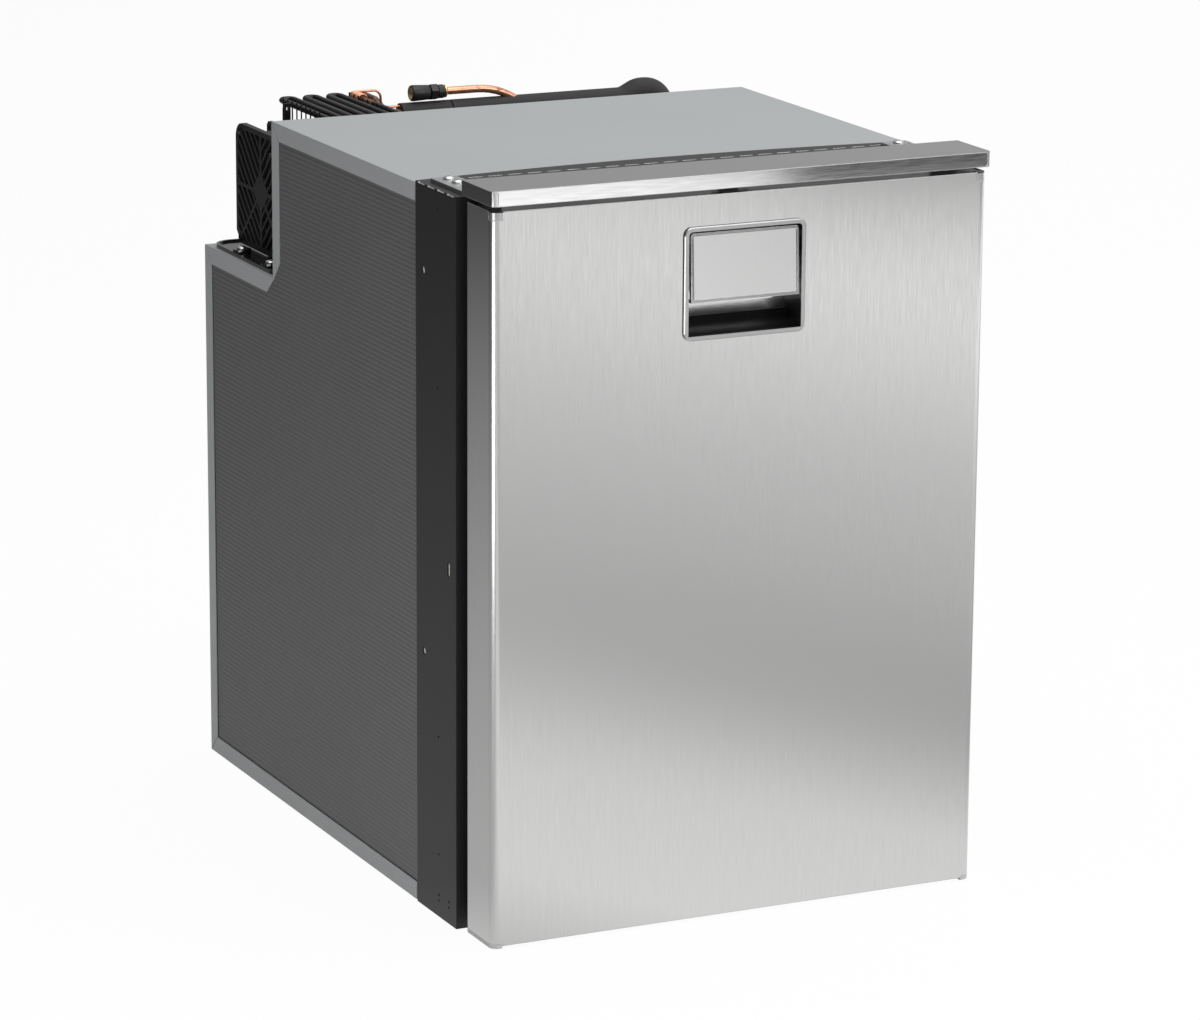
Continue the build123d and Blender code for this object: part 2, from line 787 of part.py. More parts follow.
def handle_flap():
    """Sloping flap with a raised border, cheeks with pins, a finger lip and the arm to the latch bolt."""
    tilt = asin(flap_slope / flap_height)
    middle = -flap_height / 2
    blank = Pos(0, middle) * RectangleRounded(2 * flap_half, flap_height, flap_rim * 1.5)
    face = front_prism(blank, 0, flap_thickness)
    inner_width = 2 * (flap_half - flap_rim)
    pocket = Pos(0, middle) * RectangleRounded(inner_width, flap_height - 2 * flap_rim, flap_rim * 0.8)
    face -= front_prism(pocket, -1, flap_thickness * 0.2)
    lip = flap_thickness * 0.8
    face += span_box(-flap_half, flap_half, 0, 2 * flap_thickness, -flap_height, lip - flap_height)
    flap = Pos(0, 0, flap_z1) * Rot(-tilt * 180 / pi, 0, 0) * face
    pivot = Pos(pin_y, pin_z)
    pin_end = recess_half + handle_wall - latch_clear
    cheek = pivot * RegularPolygon(flap_pin_back - 0.6, small_round)
    cheek = side_sketch_prism(cheek, flap_half - flap_pin, flap_half)
    pin = side_sketch_prism(pivot * Circle(flap_pin / 2), flap_half - 1, pin_end)
    flap += both_sides(cheek + pin)
    reach, tip_y, rise = arm_width / 2, pin_y + arm_length, arm_thickness / 2
    flap += span_box(-reach, reach, flap_thickness / 2, tip_y, pin_z - rise, pin_z + rise)
    tip = Pos(tip_y, pin_z) * RegularPolygon(arm_thickness * 0.62, small_round)
    return flap + side_sketch_prism(tip, -reach, reach)


def latch_bolt():
    """Sliding bolt with a window for the arm's tip and a sloped nose at the top."""
    reach = bolt_width / 2
    bolt = span_box(-reach, reach, bolt_y0, bolt_y1, bolt_z0, bolt_z1)
    top_edges = bolt.faces().sort_by(Axis.Z)[-1].edges()
    bolt = chamfer(top_edges.sort_by(Axis.Y)[-1], bolt_thickness * 0.4)
    slot_half = arm_width / 2 + latch_clear
    tip = arm_thickness * 0.62 + latch_clear
    return bolt - span_box(-slot_half, slot_half, bolt_y0 - 1, bolt_y1 + 1, pin_z - tip, pin_z + tip)


def latch_guide():
    """Square tube that guides the bolt and holds its spring."""
    guide = latch_block()
    reach = bolt_width / 2 + latch_clear
    guide -= span_box(-reach, reach, bolt_y0 - latch_clear, bolt_y1 + latch_clear, spring_z0, front_z1)
    return guide - arm_window(recess_depth, bolt_y0)


def arc_pair(start, start_dir, end, end_dir):
    """Two arcs that leave start along start_dir and reach end along end_dir without a kink."""
    chord = end - start
    turn = 2 * (1 - start_dir.dot(end_dir))
    along = chord.dot(start_dir + end_dir)
    square = chord.dot(chord)
    reach = square / (along + sqrt(along**2 + turn * square))
    middle = (start + start_dir * reach + end - end_dir * reach) / 2
    middle_dir = (middle - (start + start_dir * reach)).normalized()
    return [TangentArc(start, middle, tangent=start_dir), TangentArc(middle, end, tangent=middle_dir)]


def winding(place, radius, pitch, turns):
    """Edges of a helix about the Z axis of place, two arcs for each quarter turn, with square ends."""
    slope = pitch / (2 * pi)
    points, directions = [], []
    count = int(turns * 4)
    for n in range(count + 1):
        angle = n * pi / 2
        rise = 0 if n in (0, count) else slope
        points.append(Vector(radius * cos(angle), radius * sin(angle), slope * angle))
        directions.append(Vector(-radius * sin(angle), radius * cos(angle), rise).normalized())
    edges = []
    for n in range(count):
        edges += arc_pair(points[n], directions[n], points[n + 1], directions[n + 1])
    return [place * edge for edge in edges]


def chord_points(edge):
    """Points after an edge's start: its end, and for a curved edge also one at every tube turn."""
    swing = acos(max(-1, min(1, (edge % 0).dot(edge % 1)))) * 180 / pi
    count = max(1, round(swing / tube_turn))
    return [edge @ ((n + 1) / count) for n in range(count)]


def round_tube(path_edges, radius, sides):
    """A rod of an even-sided section along edges that join without a kink, bent in short straight pieces."""
    points = [path_edges[0] @ 0]
    for edge in path_edges:
        points += chord_points(edge)
    way = (points[1] - points[0]).normalized()
    up = Vector(0, 0, 1) if abs(way.Z) < 0.9 else Vector(1, 0, 0)
    start = Plane(origin=points[0], x_dir=up.cross(way), z_dir=way)
    section = start * RegularPolygon(radius / cos(pi / sides), sides)
    return sweep(section, path=Polyline(*points), transition=Transition.RIGHT)


def latch_spring():
    """Compression spring under the latch bolt."""
    seat = spring_wire * 0.65
    length = bolt_z0 - spring_z0 - 2 * seat
    place = Pos(0, (bolt_y0 + bolt_y1) / 2, spring_z0 + seat)
    edges = winding(place, spring_radius, length / spring_turns, spring_turns)
    return round_tube(edges, spring_wire / 2, 6)


# Slides


def channel(web_u0, web_u1, tip_u, half_height, y0, y1):
    """Right-hand slide member: a web and two flanges, u measured inwards from the liner's wall."""
    outline = [
        (web_u0, -half_height),
        (web_u0, half_height),
        (tip_u, half_height),
        (tip_u, half_height - slide_sheet),
        (web_u1, half_height - slide_sheet),
        (web_u1, slide_sheet - half_height),
        (tip_u, slide_sheet - half_height),
        (tip_u, -half_height),
    ]
    points = [(cavity_half - u, slide_centre + z) for u, z in outline]
    return front_prism(make_face(Polyline(*points, close=True)), y0, y1)


def slide_members():
    """Fixed, middle and drawer member of the right-hand slide, one inside the other."""
    step = slide_sheet + slide_gap
    outer_half = slide_height / 2
    fixed = channel(0, slide_sheet, slide_thickness - 2 * step, outer_half, slide_y0, slide_y1)
    middle = channel(step, step + slide_sheet, slide_thickness - step, outer_half - step, slide_y0, slide_y1)
    moving = channel(
        slide_thickness, slide_thickness - slide_sheet, 2 * step, outer_half - 2 * step, slide_y0, slide_y1
    )
    return fixed, middle, moving


# Drawer interior


def side_frame():
    """Right-hand side frame of the drawer: a cut sheet with lips that carry both baskets."""
    x1 = side_frame_x
    x0 = x1 - side_frame_sheet
    band = side_frame_band
    low = slide_centre - slide_height / 2
    end = basket_y0 + upper_basket_depth + 2
    top = upper_rail_height
    foot = low - 4 * side_frame_band
    frame = side_prism(
        [
            (plinth_y, foot),
            (plinth_y, top),
            (end, top),
            (end, lower_rail_z),
            (slide_y1, lower_rail_z),
            (slide_y1, low),
            (plinth_y + 2 * band, low),
            (plinth_y + band, low - band),
            (plinth_y + band, foot),
        ],
        x0,
        x1,
    )
    window = Pos((plinth_y + end) / 2, (lower_rail_z + top - band) / 2)
    hole = RectangleRounded(end - plinth_y - 2 * band, top - band - lower_rail_z, band / 2)
    frame -= side_sketch_prism(window * hole, x0 - 1, x1 + 1)
    tab = 2 * band
    frame += span_box(x0 - tab, x0, plinth_y, plinth_y + side_frame_sheet, foot, top)
    lip_y0 = plinth_y + band
    for z, y1 in ((lower_rail_z, slide_y1), (top, end)):
        frame += span_box(x0 - side_frame_lip, x0, lip_y0, y1, z - side_frame_sheet, z)
    return frame


def barred(panel, places, cutter):
    """A panel with one opening cut at each place."""
    for place in places:
        panel -= cutter(place)
    return panel


def basket(depth, drop, rim_z):
    """Welded basket: barred floor and walls, and two flat rims that hang on the side frames' lips."""
    lip_edge = side_frame_x - side_frame_sheet - side_frame_lip
    body = lip_edge - basket_clear
    rim = side_frame_x - side_frame_sheet - basket_clear
    wire = basket_wire
    y0, y1 = basket_y0, basket_y0 + depth
    z0, rim_top = rim_z - drop, rim_z + basket_rim / 2
    top, low = rim_z - 3 * wire, z0 + 3 * wire
    gap = (basket_pitch - wire) / 2
    along = even_places(y0 + 2 * wire, y1 - 2 * wire, basket_pitch)
    across = even_places(2 * wire - body, body - 2 * wire, basket_pitch)

    floor = span_box(-body, body, y0, y1, z0, z0 + wire)
    for x0, x1 in split_span(3 * wire - body, body - 3 * wire, 3, wire):
        floor = barred(floor, along, lambda y: span_box(x0, x1, y - gap, y + gap, z0 - 1, low))
    end = span_box(-body, body, y0, y0 + wire, z0 + wire, rim_z)
    end += span_box(wire - body, body - wire, y0, y0 + wire, rim_z, rim_top)
    end = barred(end, across, lambda x: span_box(x - gap, x + gap, y0 - 1, y0 + 2 * wire, low, top))
    side = span_box(body - wire, body, y0 + wire, y1 - wire, z0 + wire, rim_z)
    side = barred(side, along, lambda y: span_box(0, rim, y - gap, y + gap, low, top))
    rail = span_box(body - wire, rim, y0, y1, rim_z, rim_top)
    back = Pos(0, depth - wire, 0) * end
    return group([floor, end, back] + [both_sides(part) for part in (side, rail)])


def even_places(start, end, pitch):
    """Middles of as many equal steps as fit between start and end, centred."""
    count = int((end - start) / pitch)
    first = (start + end) / 2 - (count - 1) / 2 * pitch
    return [first + n * pitch for n in range(count)]


def split_span(start, end, parts, gap):
    """A span cut into equal parts with a gap between neighbours."""
    length = (end - start - (parts - 1) * gap) / parts
    return [(start + n * (length + gap), start + n * (length + gap) + length) for n in range(parts)]


# Evaporator and thermostat


def evaporator():
    """Cold plate on the upper back wall with a raised serpentine channel."""
    plate_half = cavity_half - plate_margin
    z0, z1 = cavity_ledge + plate_margin / 1.6, cavity_z1 - plate_margin / 1.6
    y1 = cavity_upper_back - plate_standoff
    y0 = y1 - plate_thickness
    sketch = Pos(0, (z0 + z1) / 2) * RectangleRounded(2 * plate_half, z1 - z0, channel_width)
    plate = front_prism(sketch, y0, y1)
    rows = 4
    step = (z1 - z0 - 3 * channel_width) / (rows - 1)
    reach = plate_half - 1.6 * channel_width
    points = []
    for row in range(rows):
        z = z0 + 1.5 * channel_width + row * step
        ends = [(-reach, z), (reach, z)]
        points += ends if row % 2 == 0 else ends[::-1]
    path = FilletPolyline(*points, radius=step * 0.35)
    return plate + front_prism(trace(path, channel_width), y0 - channel_rise, y0)


def plate_standoffs():
    """Four spacers between the cold plate and the liner."""
    z0, z1 = cavity_ledge + plate_margin, cavity_z1 - plate_margin
    reach = cavity_half - plate_margin - channel_width * 0.8
    post = RegularPolygon(channel_width * 0.45, 12)
    y0, y1 = cavity_upper_back - plate_standoff, cavity_upper_back
    return group([front_prism(Pos(x, z) * post, y0, y1) for x in (-reach, reach) for z in (z0, z1)])


def control_box_places():
    """Left, right, front, back, low and high limits of the thermostat's housing."""
    x1 = cavity_half - liner_corner
    y0 = cavity_y0 + 2 * knob_length
    return x1 - control_width, x1, y0, y0 + control_depth, cavity_z1 - control_height, cavity_z1


def knob_centre():
    """Middle of the thermostat knob in front view."""
    x0, x1, y0, y1, z0, z1 = control_box_places()
    return x1 - knob_radius - 5, (z0 + z1) / 2


def control_housing():
    """Housing under the ceiling with a sloped underside, a lamp window and the knob's bearing."""
    x0, x1, y0, y1, z0, z1 = control_box_places()
    slope_y, slope_z = y0 + control_depth * 0.55, z0 + control_height * 0.6
    outline = [(y0, z1), (y0, z0), (slope_y, z0), (y1, slope_z), (y1, z1)]
    housing = side_prism(outline, x0, x1)
    uprights = housing.edges().filter_by(Axis.Z)
    housing = fillet(uprights, 4)
    lens = lens_block(0.2)
    x, z = knob_centre()
    bore = front_prism(Pos(x, z) * Circle(knob_shaft + 0.05), y0 - 1, y0 + knob_length)
    return housing - lens - bore


def lens_block(outset):
    """The lamp's window in the housing's underside, grown by outset."""
    x0, x1, y0, y1, z0, z1 = control_box_places()
    lens_x0 = x0 + 7
    depth = control_depth * 0.4
    return span_box(
        lens_x0 - outset,
        lens_x0 + lens_width + outset,
        y0 + 6 - outset,
        y0 + 6 + depth + outset,
        z0 - 1,
        z0 + control_height * 0.3 + outset,
    )


def control_lens():
    """The lamp's lens, flush with the underside of the housing."""
    low = control_box_places()[4]
    return lens_block(0) & span_box(-half, half, 0, lower_back, low, cabinet_z1)


def thermostat_knob():
    """Round knob with grip flutes and a pointer rib; its shaft turns in the housing."""
    x, z = knob_centre()
    y0 = control_box_places()[2]
    front = y0 - knob_length
    body = front_prism(Pos(x, z) * RegularPolygon(knob_radius, 2 * middle_round), front, y0 - 0.4)
    body = chamfer(body.faces().sort_by(Axis.Y)[0].edges(), 1.2)
    reach = knob_radius + 0.6
    for n in range(knob_flutes):
        angle = (n + 0.5) * 2 * pi / knob_flutes
        groove = Pos(x + reach * cos(angle), z + reach * sin(angle)) * RegularPolygon(1.8, 6)
        body -= front_prism(groove, front - 1, y0 - 2.6)
    body += span_box(x - 1.1, x + 1.1, front - 1.0, front + 1, z, z + knob_radius - 2)
    return body + front_prism(Pos(x, z) * Circle(knob_shaft), y0 - 1, y0 + knob_length - 1)


# Cooling unit on the ledge


def drip_tray():
    """Shallow tray on the ledge with a rounded nose at the left, screw bosses and a rear lip."""
    y1 = lower_back - tray_margin
    x0 = -(half - tray_margin)
    corner = Pos(x0 + tray_length / 2, (upper_back + y1) / 2) * Rectangle(tray_length, y1 - upper_back - 1)
    sides = corner.vertices().sort_by(Axis.X)[:2]
    outline = fillet(sides, foot_length / 3)
    tray = plan_prism(outline, ledge_z, tray_z)
    inside = offset(outline, -tray_sheet * 1.5)
    tray += plan_prism(outline - inside, tray_z, tray_z + tray_sheet)
    for x, y in tray_screw_places():
        boss = Pos(x, y) * RegularPolygon(boss_radius, middle_round)
        tray += plan_prism(boss, tray_z, tray_z + boss_height)
        hole = RegularPolygon(bracket_screw * 0.35 + 0.3, small_round)
        tray -= plan_prism(Pos(x, y) * hole, ledge_z - 1, tray_z + 2 * boss_height)
    return tray


def tray_screw_places():
    """Middles of the tray's two screws near its nose."""
    x = -(half - tray_margin) + boss_radius
    front = upper_back + tray_nose - tray_screw_pitch
    return [(x, front), (x, front + tray_screw_pitch)]


def tray_screws():
    """The two screws that hold the tray."""
    screw = dome_screw(screw_head, screw_head_height, bracket_screw * 0.7, boss_height + tray_sheet - 0.3)
    return group([Pos(x, y, tray_z + boss_height) * screw for x, y in tray_screw_places()])


def fan_square(size, corner):
    """Side view of the fan's square frame."""
    square = Pos(fan_y, fan_z) * Rectangle(size, size)
    return chamfer(square.vertices(), corner * 0.6)


def fan_hole_places():
    """Side view places of the four corner holes."""
    reach = fan_hole_pitch / 2
    return [(fan_y + y, fan_z + z) for y in (-reach, reach) for z in (-reach, reach)]


def fan_bore_shape(radius):
    """Side view of a large round opening round the fan's axle."""
    return Pos(fan_y, fan_z) * RegularPolygon(radius / cos(pi / large_round), large_round)


def fan_housing():
    """Square fan frame with end flanges, round duct, four struts and the motor's seat."""
    frame = side_sketch_prism(fan_square(fan_size, fan_corner), fan_x, fan_back_x)
    waist = fan_square(fan_size + 1, fan_corner) - fan_bore_shape(fan_bore / 2 + 1.5)
    frame -= side_sketch_prism(waist, fan_x + fan_wall, fan_back_x - fan_wall)
    frame -= side_sketch_prism(fan_bore_shape(fan_bore / 2), fan_x - 1, fan_back_x + 1)
    for y, z in fan_hole_places():
        hole = Pos(y, z) * RegularPolygon(fan_hole / 2, small_round)
        frame -= side_sketch_prism(hole, fan_x - 1, fan_back_x + 1)
    middle = Pos(fan_y, fan_z)
    hub = RegularPolygon(fan_hub / 2, middle_round)
    bore = middle * Circle(fan_shaft + 0.05)
    seat = side_sketch_prism(middle * hub, fan_back_x - fan_wall, fan_back_x)
    for n in range(4):
        strut = Pos(fan_bore / 4 + 2, 0) * Rectangle(fan_bore / 2 - 3, 4)
        turned = middle * Rot(0, 0, 45 + 90 * n) * strut
        seat += side_sketch_prism(turned, fan_back_x - fan_wall * 0.8, fan_back_x)
    return frame + (seat - side_sketch_prism(bore, fan_back_x - 2 * fan_wall, fan_back_x))


def fan_rotor():
    """Hub with seven pitched blades and the shaft that turns in the motor's seat."""
    x0, x1 = fan_x + 1.5, fan_back_x - fan_wall - 1
    middle = Pos(fan_y, fan_z)
    hub = side_sketch_prism(middle * RegularPolygon(fan_hub / 2, 2 * middle_round), x0, x1)
    hub = chamfer(hub.faces().sort_by(Axis.X)[0].edges(), 1.5)
    axle = middle * Circle(fan_shaft)
    reach = fan_bore / 2 - 1.5
    root = fan_hub / 2 - 1.5
    chord = (x1 - x0) * 1.18
    blade = Box(chord, reach - root, 1.5)
    middle_x = (x0 + x1) / 2
    for n in range(fan_blades):
        turned = Rot(n * 360 / fan_blades, 0, 0) * Pos(0, (reach + root) / 2, 0) * Rot(0, 36, 0) * blade
        hub += Pos(middle_x, fan_y, fan_z) * turned
    keep = side_sketch_prism(middle * RegularPolygon(reach, large_round), x0, x1)
    return (hub & keep) + side_sketch_prism(axle, x1 - 1, fan_back_x - 0.8)


def guard_outline():
    """Side view of the guard's rim with one chamfered and one rounded rear corner."""
    reach = guard_length / 2
    low, high = ledge_z + fan_lift, ledge_z + fan_lift + fan_size + 0.6
    outline = Pos(fan_y, (low + high) / 2) * Rectangle(2 * reach, high - low)
    rear = outline.vertices().sort_by(Axis.X)[-2:].sort_by(Axis.Y)
    outline = chamfer(rear[0], 9)
    rear_top = outline.vertices().sort_by(lambda v: v.X + v.Y)[-1]
    return fillet(rear_top, 12)


def fan_guard():
    """Flat grille: rim, spine, cross rib, slanted slats, diagonals and a solid diamond in the middle."""
    rim_shape = guard_outline()
    window = offset(rim_shape, -guard_border)
    low, high = ledge_z + fan_lift, ledge_z + fan_lift + fan_size
    bars = Pos(fan_y, fan_z) * Rectangle(guard_bar * 1.6, high - low)
    bars += Pos(fan_y, fan_z) * Rectangle(guard_length, guard_bar * 1.4)
    bars += Pos(fan_y, fan_z) * Rot(0, 0, 45) * Rectangle(guard_diamond * 1.42, guard_diamond * 1.42)
    step = guard_pitch * sqrt(2)
    count = int(guard_length / guard_pitch * 0.75)
    slat = Rectangle(guard_length, guard_bar)
    for side in (-1, 1):
        half_bar = Rot(0, 0, 45 * side) * Pos(side * guard_length / 2, 0) * slat
        bars += [Pos(fan_y, fan_z + n * step) * half_bar for n in range(-count, count + 1)]
    for turn in (-45, 45):
        bars += Pos(fan_y, fan_z) * Rot(0, 0, turn) * Rectangle(guard_length * 1.3, guard_bar * 1.3)
    for y, z in fan_hole_places():
        bars += Pos(y, z) * RegularPolygon(fan_hole * 1.1, small_round)
    grille = (rim_shape - window) + (bars & rim_shape)
    for y, z in fan_hole_places():
        grille -= Pos(y, z) * RegularPolygon(fan_hole / 2, small_round)
    return side_sketch_prism(grille, guard_x, fan_x)


def guard_screws():
    """The four screws through the guard and the fan's corners."""
    screw = dome_screw(screw_head * 0.8, screw_head_height * 0.7, fan_hole * 0.9, fan_wall)
    upright = Rot(0, -90, 0) * screw
    return group([Pos(guard_x, y, z) * upright for y, z in fan_hole_places()])


def coil_runs():
    """Ends of all straight runs of the condenser's tube, row by row from the top."""
    runs = []
    for row in range(coil_rows):
        columns = range(coil_columns) if row % 2 == 0 else reversed(range(coil_columns))
        for n, column in enumerate(columns):
            x, z = coil_x0 + column * coil_column_pitch, coil_z1 - row * coil_row_pitch
            ends = [Vector(x, coil_y0, z), Vector(x, coil_y1, z)]
            runs.append(ends if n % 2 == 0 else ends[::-1])
    return runs


def half_round(start, end, way):
    """A half circle from start to end that bulges along way."""
    return ThreePointArc(start, (start + end) / 2 + way * ((end - start).length / 2), end)


def quarter_round(start, start_dir, end_dir, radius):
    """A quarter circle that leaves start along start_dir and ends along end_dir."""
    end = start + start_dir * radius + end_dir * radius
    return TangentArc(start, end, tangent=start_dir)


def bent_pipe(start, steps, radius):
    """Edges of a pipe from start: straight legs along the steps with quarter bends between them."""
    edges, at = [], start
    for n, step in enumerate(steps):
        way = step.normalized()
        cut = (radius if n > 0 else 0) + (radius if n < len(steps) - 1 else 0)
        end = at + way * (step.length - cut)
        edges.append(Line(at, end))
        at = end
        if n < len(steps) - 1:
            after = steps[n + 1].normalized()
            edges.append(quarter_round(at, way, after, radius))
            at = at + way * radius + after * radius
    return edges


def discharge_line():
    """Way of the hot gas pipe: out of the shell, up, round the hairpin, forward and across to the coil."""
    left_x, right_x = coil_x1 + coil_column_pitch, coil_x1 + 2 * coil_column_pitch
    start = Vector(discharge_stub_x(), discharge_y, discharge_z)
    bend = start.X - right_x
    rise = Vector(0, 0, coil_z1 - start.Z)
    edges = bent_pipe(start, [Vector(-bend, 0, 0), rise, Vector(0, hairpin_y - start.Y, 0)], coil_tube)
    tip = Vector(right_x, hairpin_y, coil_z1)
    far = Vector(left_x, hairpin_y, coil_z1)
    edges.append(half_round(tip, far, Vector(0, 1, 0)))
    across = Vector(coil_x0 - left_x, 0, 0)
    forward = Vector(0, crossing_y - hairpin_y, 0)
    back = Vector(0, coil_y0 - crossing_y, 0)
    return edges + bent_pipe(far, [forward, across, back], 2 * coil_tube)


def liquid_line(start):
    """Way of the pipe from the coil's last run round to the drier."""
    beside = start + Vector(coil_column_pitch, 0, 0)
    edges = [half_round(start, beside, Vector(0, -1, 0))]
    back = Vector(0, drier_y - beside.Y, 0)
    across = Vector(drier_x0 - beside.X, 0, 0)
    return edges + bent_pipe(beside, [back, across], 2 * coil_tube)


def condenser_coil():
    """One unbroken tube: from the compressor, to and fro through all rows of the condenser, to the drier."""
    edges = discharge_line()
    runs = coil_runs()
    for n, (start, end) in enumerate(runs):
        edges.append(Line(start, end))
        if n + 1 < len(runs):
            edges.append(half_round(end, runs[n + 1][0], (end - start).normalized()))
    edges += liquid_line(runs[-1][1])
    return round_tube(edges, coil_tube / 2, 6)


def condenser_wires():
    """Upright wires against both sides of every pair of condenser columns."""
    radius = wire_thickness / 2
    z0, z1 = coil_z0 - wire_over, coil_z1 + wire_over
    count = int(coil_run / wire_pitch) - 1
    first = (coil_y0 + coil_y1) / 2 - (count - 1) / 2 * wire_pitch
    wires = []
    for column in (0, coil_columns - 1):
        side = -1 if column == 0 else 1
        x = coil_x0 + column * coil_column_pitch + side * (coil_tube / 2 + radius)
        for n in range(count):
            y = first + n * wire_pitch
            wires.append(span_box(x - radius, x + radius, y - radius, y + radius, z0, z1))
    return group(wires)


def condenser_bracket():
    """Two upright straps from the ledge that carry the condenser's lowest tubes."""
    straps = []
    for y in (coil_y0 + coil_run * 0.22, coil_y0 + coil_run * 0.78):
        x0 = coil_x0 - coil_tube / 2
        x1 = coil_x1 + coil_tube / 2
        top = coil_z0 - coil_tube / 2 / cos(pi / 6)
        strap = span_box(x0, x1, y - 5, y + 5, tray_z, top)
        strap -= span_box(x0 + tray_sheet, x1 - tray_sheet, y - 6, y + 6, tray_z - 1, top - tray_sheet)
        straps.append(strap)
    return group(straps)


def stadium(length, width):
    """Plan outline of the compressor's shell: straight sides and two half circles in short chords."""
    radius, reach = width / 2, (length - width) / 2
    steps = large_round // 2
    ends = []
    for side in (1, -1):
        for n in range(steps + 1):
            angle = pi * n / steps - pi / 2
            ends.append((side * (reach + radius * cos(angle)), side * radius * sin(angle)))
    return Pos(shell_x, shell_y) * make_face(Polyline(*ends, close=True))


def shell_half(grow, base, crown, radius):
    """Half of the shell from the flat height base to its rounded end at crown."""
    way = 1 if crown > base else -1
    sections = [Pos(0, 0, base) * stadium(shell_length + grow, shell_depth + grow)]
    for n in range(shell_steps + 1):
        angle = n * pi / 2 / shell_steps
        inset = 2 * radius * (1 - cos(angle)) - grow
        height = crown - way * radius * (1 - sin(angle))
        sections.append(Pos(0, 0, height) * stadium(shell_length - inset, shell_depth - inset))
    return loft(sections, ruled=True)


def compressor_shell():
    """Two drawn halves of an oval shell with a weld lip between, rounded at top and bottom."""
    middle = shell_z0 + shell_height * 0.42
    lower = shell_half(0, middle + shell_lip, shell_z0, shell_round * 0.6)
    upper = shell_half(-2 * shell_lip, middle + shell_lip, shell_z0 + shell_height, shell_round)
    return lower + upper


def foot_pad_places():
    """Middles of the compressor's four rubber feet."""
    reach_x, reach_y = ears_length / 2, shell_depth / 3
    return [(shell_x + x, shell_y + y) for x in (-reach_x, reach_x) for y in (-reach_y, reach_y)]


def compressor_base():
    """Welded cross plate under the shell with four holed ears."""
    low = shell_z0 - tray_sheet
    ears = span_box(
        shell_x - ears_length / 2 - foot_pad_radius,
        shell_x + ears_length / 2 + foot_pad_radius,
        shell_y - shell_depth / 3 - foot_pad_radius,
        shell_y + shell_depth / 3 + foot_pad_radius,
        low,
        shell_z0,
    )
    ears = chamfer(ears.edges().filter_by(Axis.Z), foot_pad_radius * 0.6)
    hole = plan_prism(RegularPolygon(foot_pad_radius * 0.42, small_round), low - 1, shell_z0 + 1)
    return ears - [Pos(x, y, 0) * hole for x, y in foot_pad_places()]


def rubber_feet():
    """Four rubber grommets between the ears and the tray, each with a waist and a head over its ear."""
    height = shell_z0 - tray_sheet - tray_z
    wide, waist, neck = foot_pad_radius * 0.9, foot_pad_radius * 0.62, foot_pad_radius * 0.42 - 0.05
    steps = [
        (0, wide, height * 0.4),
        (height * 0.4, waist, height * 0.6),
        (height * 0.6, wide, height),
        (height, neck, height + tray_sheet),
        (height + tray_sheet, foot_pad_radius * 0.7, height + tray_sheet + 2),
    ]
    pad = None
    for low, radius, high in steps:
        layer = plan_prism(RegularPolygon(radius, small_round), low, high)
        pad = layer if pad is None else pad + layer
    return group([Pos(x, y, tray_z) * pad for x, y in foot_pad_places()])


def shell_stub(place, direction, length, diameter):
    """Short pipe stub that starts inside the shell and ends with a flat face at the given place."""
    axis = Plane(origin=place, z_dir=direction)
    return extrude(axis * RegularPolygon(diameter / 2, middle_round), -length)


def discharge_stub_x():
    """Where the stub of the hot gas pipe ends, just outside the shell."""
    return shell_x - shell_length / 2 + 4


def compressor():
    """The shell with the stubs of its hot gas pipe and its suction pipe."""
    shell = compressor_shell()
    gas_place = (discharge_stub_x(), discharge_y, discharge_z)
    suction_place = (suction_x0, suction_stub_y, suction_stub_z())
    shell += shell_stub(gas_place, (-1, 0, 0), 16, coil_tube * 1.5)
    return shell + shell_stub(suction_place, (0, 1, 0), 16, suction_pipe * 1.3)


def suction_stub_z():
    """Height of the suction stub on the shell."""
    return shell_z0 + shell_height * 0.48


def suction_run():
    """Way of the suction pipe over the compressor: level, up over a hump and down to the ledge."""
    rise = suction_x1 - suction_foam * 0.95
    start = Vector(suction_x0 + 14, suction_y, suction_z)
    before = Vector(rise - suction_hump * 4, suction_y, suction_z)
    top = Vector(rise, suction_y, suction_z + suction_hump)
    along, down = Vector(1, 0, 0), Vector(0, 0, -1)
    radius = suction_x1 - rise
    edges = [Line(start, before)] + arc_pair(before, along, top, along)
    edges.append(quarter_round(top, along, down, radius))
    at = top + along * radius + down * radius
    return edges + [Line(at, Vector(at.X, at.Y, ledge_z))]


def suction_tube():
    """Bare suction pipe: from the shell's stub up, over the compressor and down to the ledge."""
    start = Vector(suction_x0, suction_stub_y, suction_stub_z())
    back = Vector(0, suction_y - suction_stub_y, 0)
    up = Vector(0, 0, suction_z - start.Z)
    edges = bent_pipe(start, [back, up, Vector(14, 0, 0)], suction_pipe)
    return round_tube(edges + suction_run(), suction_pipe / 2, 12)


def suction_insulation():
    """Foam hose over the suction pipe, and the short piece of hose at its left end."""
    run = suction_run()
    first, rest = run[0], run[1:]
    split_x = -5
    start = Vector(split_x, suction_y, suction_z)
    hose = [Line(start, first @ 1)] + rest
    bore = suction_pipe / 2 + 0.2
    long_piece = round_tube(hose, suction_foam / 2, 16) - round_tube(hose, bore, 12)
    short = [Line(Vector(hose_x0, suction_y, suction_z), start - Vector(1, 0, 0))]
    short_piece = round_tube(short, suction_foam / 2, 16) - round_tube(short, bore, 12)
    return group([long_piece - charging_tube_way(charge_pipe + 0.4), short_piece])


